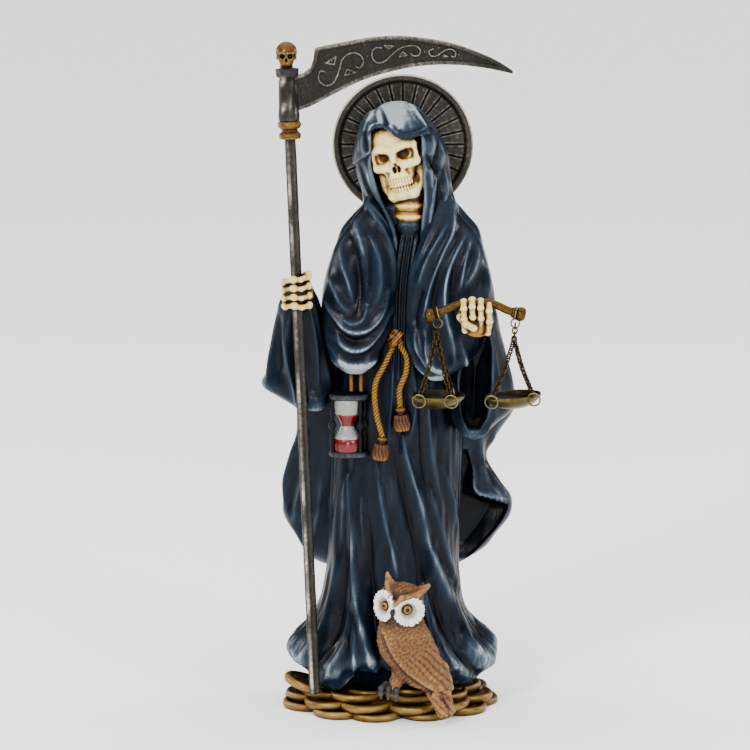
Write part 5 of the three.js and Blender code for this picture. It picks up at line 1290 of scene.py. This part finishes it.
LEFT_FACING, RIGHT_FACING = (-0.62, -1, 0.02), (0.16, -1, -0.03)
DISC = [(0.9, -2.4), (1.0, -1.2), (1.0, -0.2), (0.95, 0.25), (0.8, 0.4), (0.6, 0.15), (0.4, -0.25),
        (0.02, -0.3)]
for name, centre, facing, spread, up in (("left_face_disc", (-2.1, -42.3, 54.2), LEFT_FACING, 4.7, 6.5),
                                         ("right_face_disc", (8.9, -43.2, 51.9), RIGHT_FACING, 6.6, 6.4)):
    outline = line_through(DISC, 30)
    rings = domed(centre, facing, spread, up, outline, 144)
    turn = np.linspace(0, 2 * math.pi, 144, endpoint=False)
    share = outline[:, :1]
    beat = np.abs(np.sin(turn * 11 + 1.1 * np.sin(turn * 3) + 0.7 * np.sin(turn * 7)))[None, :]
    uneven = 0.5 + 0.5 * np.sin(turn * 5 + 1.3) * np.sin(turn * 8)
    ragged = 1 + (0.05 + 0.06 * uneven) * beat * np.clip((share - 0.75) * 5, 0, 1)
    direction = np.array(facing, float) / np.linalg.norm(facing)
    barbs = 0.34 * beat * np.clip((share - 0.38) * 3, 0, 1)
    rings = np.array(centre) + (rings - np.array(centre)) * ragged[..., None] + barbs[..., None] * direction
    piece(name, lofted(rings), face_paint, tint=-0.12, carved=1.2)

amber_paint = painted("amber_paint", [(0.0, "#371c02"), (0.5, "#724b07"), (1.0, "#936b17")], roughness=0.22,
                      break_up=0.1, bump=0.01)
black_paint = painted("black_paint", [(0.0, "#050404"), (0.6, "#0e0b0a"), (1.0, "#221d19")], roughness=0.3,
                      break_up=0.1, bump=0.02)
for name, centre, facing, size in (("left_eye", (-1.5, -42.9, 54.3), LEFT_FACING, 1.75),
                                   ("right_eye", (8.3, -43.6, 52.6), RIGHT_FACING, 2.0)):
    rim = [(1.18, -1.0), (1.18, 0.2), (1.08, 0.55), (0.9, 0.5), (0.8, 0.3), (0.02, 0.3)]
    piece(name + "_rim", lofted(domed(centre, facing, size, size, rim, 48)), black_paint)
    iris = [(0.86, 0.0)] + [(share, 0.45 + 0.75 * (1 - share ** 2)) for share in np.linspace(0.86, 0.02, 10)]
    piece(name + "_iris", lofted(domed(centre, facing, size, size, iris, 48)), amber_paint)
    pupil = [(0.44, 0.9), (0.44, 1.1), (0.28, 1.24), (0.02, 1.28)]
    piece(name + "_pupil", lofted(domed(centre, facing, size, size, pupil, 32)), black_paint)


def beak_field(points):
    knots = [(2.0, -43.4, 53.4), (1.8, -45.2, 51.4), (1.8, -44.8, 49.4)]
    return bent_bar(points, knots, (1.2, 1.0, 0.4), 0.6)


piece("beak", netted(beak_field, (-1, -47.5, 47), (5, -41, 56), 0.25), black_paint)


def claw_field(points):
    total = np.full(points.shape[:-1], 99.0)
    for x, z in ((-3.0, 15.4), (0.2, 15.0), (3.6, 14.4)):
        toe = [(x * 0.6 + 1.0, -39.0, z + 2.6), (x, -41.6, z + 1.4), (x - 0.2, -43.2, z - 0.6),
               (x - 0.2, -43.2, z - 2.6)]
        total = joined(total, bent_bar(points, toe, (1.6, 1.4, 1.1, 0.5), 0.4), 0.4)
    return total


grey_paint = painted("claw_paint", [(0.0, "#020202"), (0.45, "#11100e"), (0.75, "#252522"), (1.0, "#3d3d38")],
                     roughness=0.5, break_up=0.15, bump=0.05)
piece("claws", netted(claw_field, (-6, -46, 10), (8, -35, 21), 0.3), grey_paint)


# Rope belt: two cords of three laid strands hang from a knot and end in tassels, painted old gold.
# It is resin, cast with the skirt, so its strands are carved and don't move.
rope_paint = painted("rope_paint", [(0.0, "#070200"), (0.3, "#200b00"), (0.5, "#462200"), (0.72, "#663d00"),
                                    (0.9, "#7f5d12"), (1.0, "#99823f")],
                     roughness=0.42, coat=0.1, break_up=0.15, grain_size=0.6, bump=0.05)
CORDS = {
    "long_cord": [(2.6, -21.6, 166.5), (-1.4, -23.6, 158), (-5.4, -24.6, 150), (-5.3, -25.4, 137),
                  (-2.6, -25.4, 126)],
    "short_cord": [(4.6, -21.6, 167), (8.2, -23.6, 160), (7.6, -24.6, 154), (5, -25.2, 147),
                   (5.2, -25.2, 139)],
}
STRAND_PITCH = 4.6


def laid_rope(path, radius, pitch, strands=3, steps=120):
    """Strands that wind round a path, as the parts of one rope."""
    line = line_through(path, steps)
    lengths = np.concatenate([[0], np.cumsum(np.linalg.norm(np.diff(line, axis=0), axis=1))])
    ahead = np.gradient(line, axis=0)
    ahead /= np.linalg.norm(ahead, axis=1, keepdims=True)
    side = np.cross(ahead, (0, 1, 0))
    side /= np.linalg.norm(side, axis=1, keepdims=True)
    other = np.cross(ahead, side)
    skins = []
    for strand in range(strands):
        turn = 2 * math.pi * (lengths / pitch + strand / strands)
        core = line + radius * 0.58 * (np.cos(turn)[:, None] * side + np.sin(turn)[:, None] * other)
        skins.append(lofted(swept(core, radius * 0.5, 9)))
    return merged(skins)


def merged(skins):
    """Several skins as one."""
    points, faces, start = [], [], 0
    for skin_points, skin_faces in skins:
        points.append(np.asarray(skin_points))
        faces += [[corner + start for corner in face] for face in skin_faces]
        start += len(skin_points)
    return np.vstack(points), faces


TASSEL = [(0, 1.2), (0.4, 2.0), (1.4, 2.3), (2.2, 1.9), (2.6, 1.7), (3.4, 2.5), (5, 3.0), (7.5, 3.3),
          (9.2, 3.0), (10.2, 2.2), (10.5, 1.2)]
TASSEL_STEPS = 84


def tassel(top, sway):
    """A tassel's binding, head and skirt of threads, hanging from the end of a cord."""
    direction = np.array([sway, 0, -1]) / math.hypot(sway, 1)
    outline = outline_through(TASSEL, 40)
    rings = turned_on(top, top + direction, outline, TASSEL_STEPS)
    turn = np.linspace(0, 2 * math.pi, TASSEL_STEPS, endpoint=False)
    down = outline[:, :1]
    threads = 0.55 * np.abs(np.sin(turn * 6 + 0.25 * down + 0.5 * np.sin(0.8 * down)))
    threads *= np.clip((down - 2.8) / 0.8, 0, 1)
    rings = rings + grid_normals(rings) * (threads - 0.2)[..., None]
    return lofted(rings)


for name, path in CORDS.items():
    end = np.array(path[-1], float)
    skin = merged([laid_rope(path, 1.2, STRAND_PITCH), tassel(end, -0.1 if name == "long_cord" else 0.1)])
    piece(name, skin, rope_paint, tint=-0.38, carved=1.4)


def knot_field(points):
    total = np.full(points.shape[:-1], 99.0)
    loops = [[(0.4, -20.5, 168), (1.6, -22.8, 170), (4.2, -23.2, 169.6), (5.4, -21.6, 167.2)],
             [(1.2, -21.4, 166.4), (2.6, -23.4, 167.4), (4.8, -23.4, 170.6), (6.2, -21.0, 171.2)],
             [(1.0, -20.6, 171.2), (3.4, -22.4, 171.8), (5.6, -21.0, 170.4)]]
    for loop in loops:
        for start, end in zip(loop[:-1], loop[1:]):
            total = joined(total, bar(points, start, end, 1.35), 0.3)
    return total


def knot_strands(points, normals):
    """The slanted strands that show on the knot."""
    return 0.16 * np.sin((points[:, 0] - points[:, 2]) * 2 * math.pi / 1.9)


knot_skin = pressed(netted(knot_field, (-3, -26, 163), (9, -17, 175), 0.3), knot_strands)
piece("rope_knot", knot_skin, rope_paint)
for name, x in (("glass_string_left", -16.2), ("glass_string_right", -12.0)):
    path = [(x + 0.2, -20.0, 158), (x, -21.2, 152), (x, -22.4, 145.5)]
    piece(name, laid_rope(path, 0.8, 3.0, steps=60), rope_paint, tint=-0.38, carved=1.4)

# Hourglass: two dark plates and three posts round a glass, painted white with red sand.
# It hangs against the skirt on two strings, and all of it is resin cast with the robe.
GLASS = np.array([-17.3, -20.0, 130.5])
frame_paint = painted("frame_paint", [(0.0, "#020203"), (0.4, "#05090d"), (0.65, "#1a1f25"),
                                      (0.85, "#484d51"), (1.0, "#6c6e70")], roughness=0.4, break_up=0.2,
                      bump=0.04, specular=0.1)
PLATE = [(0, 1.0), (0.1, 8.2), (0.5, 8.7), (1.6, 8.8), (2.3, 8.5), (2.6, 7.6), (2.6, 1.0)]


def upright(centre, outline, around=56, flat=1.0):
    """Rings of a turned piece on an upright line, flattened from front to back by a share."""
    turn = np.linspace(0, 2 * math.pi, around, endpoint=False)
    return np.array([[(centre[0] + r * math.cos(a), centre[1] + r * math.sin(a) * flat, centre[2] + h)
                      for a in turn] for h, r in outline])


plates = [lofted(upright(GLASS + [0, 0, height], PLATE, flat=0.72)) for height in (-14.2, 11.2)]
POST = [(-12, 0.9), (-6, 1.0), (-2, 0.8), (-1, 1.5), (1, 1.6), (2, 0.8), (6, 1.0), (11.6, 0.9)]
posts = [lofted(upright(GLASS + [x, y, 0], outline_through(POST, 36), 20))
         for x, y in ((-7.2, -2.4), (5.0, -4.2), (7.0, 1.0))]
piece("hourglass_frame", merged(plates + posts), frame_paint, tint=-0.5)
glass_paint = painted("glass_paint", [(0.0, "#11110f"), (0.4, "#66645d"), (0.7, "#7a7974"), (1.0, "#858583")],
                      roughness=0.25, coat=0.4, break_up=0.1, bump=0.02)
sand_paint = painted("sand_paint", [(0.0, "#200002"), (0.4, "#450002"), (0.7, "#570106"), (1.0, "#681618")],
                     roughness=0.25, coat=0.4, break_up=0.1, bump=0.02)
BULB = [(-12, 6.0), (-9, 6.4), (-5.5, 5.7), (-2.5, 3.9), (0, 2.9), (2.5, 3.9), (5.5, 5.7), (9, 6.4),
        (12, 6.0)]
for name, start, end, material in (("lower_sand", -11.8, -6.0, sand_paint),
                                   ("lower_glass", -6.0, -0.4, glass_paint),
                                   ("upper_sand", -0.4, 4.8, sand_paint),
                                   ("upper_glass", 4.8, 11.6, glass_paint)):
    heights = np.linspace(start, end, 14)
    outline = np.column_stack([heights, along(BULB, heights)])
    rings = upright(GLASS + [-0.6, -0.6, 0], outline, 56, 0.85)
    # The sides of the glass are painted darker: painted shade where they turn from the light.
    aside = np.abs(rings[..., 0] - GLASS[0] + 0.6) / 5.4
    piece(name, lofted(rings), material, tint=capped(-1.5 * np.clip(aside - 0.6, 0, 1)))


# Balance: a bowed bronze beam with turned ends, wire rings, small round-link chains and turned pans.
# It is metal; the beam goes through the fist, and a ring round each end carries three chains.
bronze_paint = painted("bronze_paint", [(0.0, "#040100"), (0.35, "#190800"), (0.55, "#2c1400"),
                                        (0.75, "#3c2400"), (0.92, "#4c3700"), (1.0, "#53471e")],
                       roughness=0.3, coat=0.1, break_up=0.4, grain_size=0.5, bump=0.08, metallic=0.7)
beam_line = line_through([(18.6, -45, 182.6), (23.5, -45, 184.4), (30, -45, 187.0), (37.4, -45, 188.0),
                          (45, -45, 187.2), (51.5, -45, 184.4), (55.4, -45, 183.0)], 90)
piece("beam", lofted(swept(beam_line, 1.75, 28)), bronze_paint, ["scale_beam"])
BEAM_END = [(0, 1.6), (0.5, 2.2), (1.4, 2.3), (2.0, 1.9), (2.8, 2.6), (4.2, 3.1), (5.6, 2.7), (6.4, 1.6),
            (6.6, 0.5)]
knob = outline_through(BEAM_END, 36)
left_end = turned_on((22.0, -45, 183.6), (17.0, -45.9, 182.2), knob, 40)
right_end = turned_on((52.6, -45, 183.8), (58.2, -45, 182.6), knob, 40)
piece("beam_ends", merged([lofted(left_end), lofted(right_end)]), bronze_paint)

# Pans: turned brass dishes with a thick rim, each hung on three rings.
brass_paint = painted("brass_paint", [(0.0, "#040300"), (0.35, "#170e00"), (0.55, "#291c00"),
                                      (0.75, "#3b2c00"), (0.92, "#4a3f13"), (1.0, "#6e6238")],
                      roughness=0.34, coat=0.1, break_up=0.22, grain_size=0.5, bump=0.05, metallic=0.7)
PAN = [(-5.6, 0.4), (-5.5, 3.0), (-4.9, 6.0), (-3.4, 9.2), (-1.6, 11.2), (-0.6, 11.9), (0.1, 12.1),
       (0.5, 11.9), (0.4, 11.3), (-0.4, 10.9), (-1.4, 10.4), (-3.0, 8.6), (-4.3, 5.6), (-4.8, 2.8),
       (-4.9, 0.4)]
LEFT_PAN = np.array([21.0, -45.0, 147.6])
RIGHT_PAN = np.array([53.8, -45.0, 147.6])


def leaned(points, centre, angle):
    """Turns points about a line through the centre that runs from front to back."""
    own = np.asarray(points) - centre
    x = own[..., 0] * math.cos(angle) - own[..., 2] * math.sin(angle)
    z = own[..., 0] * math.sin(angle) + own[..., 2] * math.cos(angle)
    return np.stack([x, own[..., 1], z], axis=-1) + centre


for name, centre, lean in (("left_dish", LEFT_PAN, 0.0), ("right_dish", RIGHT_PAN, 0.07)):
    outline = line_through(PAN, 48)
    rings = leaned(upright(centre, outline, 72), centre, lean)
    piece(name, lofted(rings), brass_paint, ["pan_left" if name == "left_dish" else "pan_right"],
          tint=-0.2)


# Chains: round wire links, each turned a quarter from the last, made by one node tree for them all.
def link_tree():
    """Node tree that sets links along a path and gives them their metal."""
    tree = bpy.data.node_groups.new("chain_links", "GeometryNodeTree")
    tree.interface.new_socket("Path", in_out="INPUT", socket_type="NodeSocketGeometry")
    for name, value in (("Spacing", 1.8 * MM), ("Link width", 1.05 * MM), ("Link length", 1.45 * MM),
                        ("Wire", 0.36 * MM)):
        tree.interface.new_socket(name, in_out="INPUT", socket_type="NodeSocketFloat").default_value = value
    tree.interface.new_socket("Metal", in_out="INPUT", socket_type="NodeSocketMaterial")
    tree.interface.new_socket("Links", in_out="OUTPUT", socket_type="NodeSocketGeometry")
    given = node(tree, "NodeGroupInput")
    curve = node(tree, "GeometryNodeMeshToCurve", {"Mesh": given.outputs["Path"]})
    spots = node(tree, "GeometryNodeCurveToPoints", {"Curve": curve.outputs["Curve"],
                                                     "Length": given.outputs["Spacing"]},
                 mode="LENGTH")
    ring = node(tree, "GeometryNodeCurvePrimitiveCircle", {"Resolution": 10, "Radius": 1.0})
    stretch = node(tree, "ShaderNodeCombineXYZ", {"X": given.outputs["Link width"],
                                                  "Y": given.outputs["Link length"], "Z": 1.0})
    oval = node(tree, "GeometryNodeTransform", {"Geometry": ring.outputs["Curve"],
                                                "Scale": stretch.outputs["Vector"]})
    stood = node(tree, "GeometryNodeTransform", {"Geometry": oval.outputs["Geometry"],
                                                 "Rotation": (math.pi / 2, 0, 0)})
    wire = node(tree, "GeometryNodeCurvePrimitiveCircle", {"Resolution": 6, "Radius": given.outputs["Wire"]})
    link = node(tree, "GeometryNodeCurveToMesh", {"Curve": stood.outputs["Geometry"],
                                                  "Profile Curve": wire.outputs["Curve"]})
    order = node(tree, "GeometryNodeInputIndex")
    quarter = node(tree, "ShaderNodeMath", {0: order.outputs["Index"], 1: math.pi / 2}, operation="MULTIPLY")
    roll = node(tree, "FunctionNodeAxisAngleToRotation", {"Axis": (0, 0, 1), "Angle": quarter.outputs[0]})
    turned = node(tree, "FunctionNodeRotateRotation", {"Rotation": spots.outputs["Rotation"],
                                                       "Rotate By": roll.outputs["Rotation"]},
                  rotation_space="LOCAL")
    placed = node(tree, "GeometryNodeInstanceOnPoints", {"Points": spots.outputs["Points"],
                                                         "Instance": link.outputs["Mesh"],
                                                         "Rotation": turned.outputs["Rotation"]})
    real = node(tree, "GeometryNodeRealizeInstances", {"Geometry": placed.outputs["Instances"]})
    metal = node(tree, "GeometryNodeSetMaterial", {"Geometry": real.outputs["Geometry"],
                                                   "Material": given.outputs["Metal"]})
    node(tree, "NodeGroupOutput", {"Links": metal.outputs["Geometry"]})
    return tree


chain_paint = painted("chain_metal", [(0.0, "#0a0702"), (0.4, "#2c220c"), (0.7, "#493d1c"), (1.0, "#655e46")],
                      roughness=0.3, break_up=0.1, bump=0.02, metallic=0.85)
chain_tree = link_tree()


def chain(name, path, spacing):
    """Links along a path, made a plain mesh."""
    line = line_through(path, 60) * MM
    mesh = bpy.data.meshes.new(name)
    mesh.from_pydata(line.tolist(), [(index, index + 1) for index in range(len(line) - 1)], [])
    holder = bpy.data.objects.new(name + "_path", mesh)
    bpy.context.scene.collection.objects.link(holder)
    modifier = holder.modifiers.new("links", "NODES")
    modifier.node_group = chain_tree
    sockets = {item.name: item.identifier for item in chain_tree.interface.items_tree
               if item.in_out == "INPUT"}
    modifier[sockets["Spacing"]] = spacing * MM
    modifier[sockets["Metal"]] = chain_paint
    shown = holder.evaluated_get(bpy.context.evaluated_depsgraph_get())
    made = bpy.data.objects.new(name, bpy.data.meshes.new_from_object(shown))
    bpy.data.objects.remove(holder)
    bpy.context.scene.collection.objects.link(made)
    made.data.shade_smooth()
    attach(made, "root")


def ring_of(centre, radius, wire, axis, around=32):
    """A closed wire ring round an axis."""
    axis = np.array(axis, float) / np.linalg.norm(axis)
    side = np.cross(axis, (0.1, 0.2, 1.0))
    side /= np.linalg.norm(side)
    other = np.cross(axis, side)
    turn = np.linspace(0, 2 * math.pi, around, endpoint=False)
    bend = np.linspace(0, 2 * math.pi, 12, endpoint=False)
    outward = np.cos(turn)[:, None] * side + np.sin(turn)[:, None] * other
    core = np.array(centre) + outward * radius
    rings = np.array([core + wire * (math.cos(b) * outward + math.sin(b) * axis) for b in bend])
    faces = []
    for b in range(len(bend)):
        for a in range(around):
            c, d = (b + 1) % len(bend), (a + 1) % around
            faces.append([b * around + a, b * around + d, c * around + d, c * around + a])
    return rings.reshape(-1, 3), faces


# Where each side's three chains meet, and how far round its pan they hook on.
HUBS = {"left": (20.7, -45, 174.0), "right": (54.0, -45, 171.6)}
HOOK_TURNS = {"left": (-2.25, -1.1, 1.0), "right": (-2.45, -0.85, 0.9)}
for side, centre, lean, end in (("left", LEFT_PAN, 0.0, np.array([21.2, -45, 183.4])),
                                ("right", RIGHT_PAN, 0.07, np.array([54.4, -45, 183.3]))):
    hub = np.array(HUBS[side])
    rings = [ring_of(end, 2.7, 0.4, (1, 0, 0.25 if side == "left" else -0.25)),
             ring_of(end + [0, -0.4, -4.4], 1.9, 0.34, (0.3, 1, 0), 24)]
    loops = []
    for index, turn in enumerate(HOOK_TURNS[side]):
        outward = np.array([math.cos(turn), math.sin(turn), 0])
        rim = leaned(centre + 11.7 * outward, centre, lean)
        hang = leaned(centre + 12.7 * outward + [0, -0.5, -0.9], centre, lean)
        loops.append(ring_of(hang, 2.7, 0.38, (0.25, 1, 0.1) if turn < 0 else (1, 0.3, 0.1)))
        sag = (hub + rim) / 2 + [0, 0, -0.7]
        chain(f"chain_{side}_{index + 1}", [hub + [0, 0, 0.4], sag, rim + [0, 0, 2.0]], 1.8)
    chain(f"chain_{side}_hanger", [end + [0, 0, -5.6], hub + [0, 0, 0.2]], 1.9)
    piece(f"rings_{side}", merged(rings), chain_paint, [f"chains_{side}"], tint=0.4)
    piece(f"pan_rings_{side}", merged(loops), brass_paint, tint=0.5)


# Base: coins cast in a low heap, gold with a brown wash; generic discs with a rim and a worn ring.
# They lie in four rings on a low core, and the statue stands on their underside.
coin_paint = painted("coin_paint", [(0.0, "#080300"), (0.28, "#1c0e01"), (0.48, "#321d02"), (0.66, "#4b2f03"),
                                    (0.86, "#664810"), (1.0, "#826a38")],
                     roughness=0.36, streak=(6, 6, 1), break_up=0.36, grain_size=0.6, bump=0.1, metallic=0.4,
                     wash_and_shade=0.7, dim=0.6)
COIN = [(-1.8, 0.3), (-1.8, 11.2), (-1.5, 11.8), (-1.0, 12.0), (1.0, 12.0), (1.5, 11.8), (1.8, 11.3),
        (1.75, 10.4), (1.35, 9.9), (1.05, 9.4), (1.1, 7.8), (1.35, 7.2), (1.05, 6.4), (1.05, 3.4),
        (1.35, 2.4), (1.4, 0.3)]
random = np.random.default_rng(7)


def coin_skin(centre, tilt, heading):
    """A coin whose side at the heading is tilted up."""
    turn = np.linspace(0, 2 * math.pi, 38, endpoint=False)
    height, radius = np.hsplit(line_through(COIN, 27), 2)
    edge = np.stack([turn * 4, 0 * turn, 0 * turn], axis=-1)
    worn = 1 + 0.006 * wobble(edge, 5, int(100 * heading)) * (radius > 11)
    ahead = np.array([math.cos(heading) * math.cos(tilt), math.sin(heading) * math.cos(tilt), math.sin(tilt)])
    aside = np.array([-math.sin(heading), math.cos(heading), 0])
    rings = (np.array(centre) + (radius * worn * np.cos(turn))[..., None] * ahead
             + (radius * worn * np.sin(turn))[..., None] * aside + height[..., None] * np.cross(ahead, aside))
    rings[..., 2] = np.maximum(rings[..., 2], 0.02)
    return lofted(rings)


# Rings of coins: how many, half width, half depth, height, and how far the first is turned.
COIN_RINGS = [(11, 37.2, 26.2, 1.8, 0.05), (11, 35.2, 24.2, 5.0, 0.36), (9, 30, 18.5, 7.9, 0.1),
              (5, 18, 11, 8.8, 0.3)]
coins = []
for count, wide, deep, level, swing in COIN_RINGS:
    for index in range(count):
        way = 2 * math.pi * (index + random.uniform(-0.14, 0.14)) / count + swing
        spread = random.uniform(0.97, 1.0)
        coins.append(coin_skin((0.5 + wide * spread * math.cos(way), deep * spread * math.sin(way), level),
                               random.uniform(-0.03, 0.08), way + math.pi + random.uniform(-1, 1)))
# One coin leans up against the hem at the far left.
coins.append(coin_skin((-35.0, -4.0, 9.4), 0.34, math.pi * 1.02))
piece("coins", merged(coins), coin_paint, ["coin_base"])
# The core under the coins: height, and share of its full width and depth.
CORE = [(0.2, 0.02), (0.2, 0.98), (1.0, 1.0), (3.0, 0.98), (6.0, 0.9), (8.4, 0.8), (8.6, 0.02)]
turn = np.linspace(0, 2 * math.pi, 120, endpoint=False)
mound = np.array([[(0.5 + share * 41 * math.cos(a), share * 30 * math.sin(a), height) for a in turn]
                  for height, share in CORE])
# The core is painted darker than the coins: painted shade in the gaps between them.
piece("coin_core", lofted(mound), coin_paint, tint=-0.5)
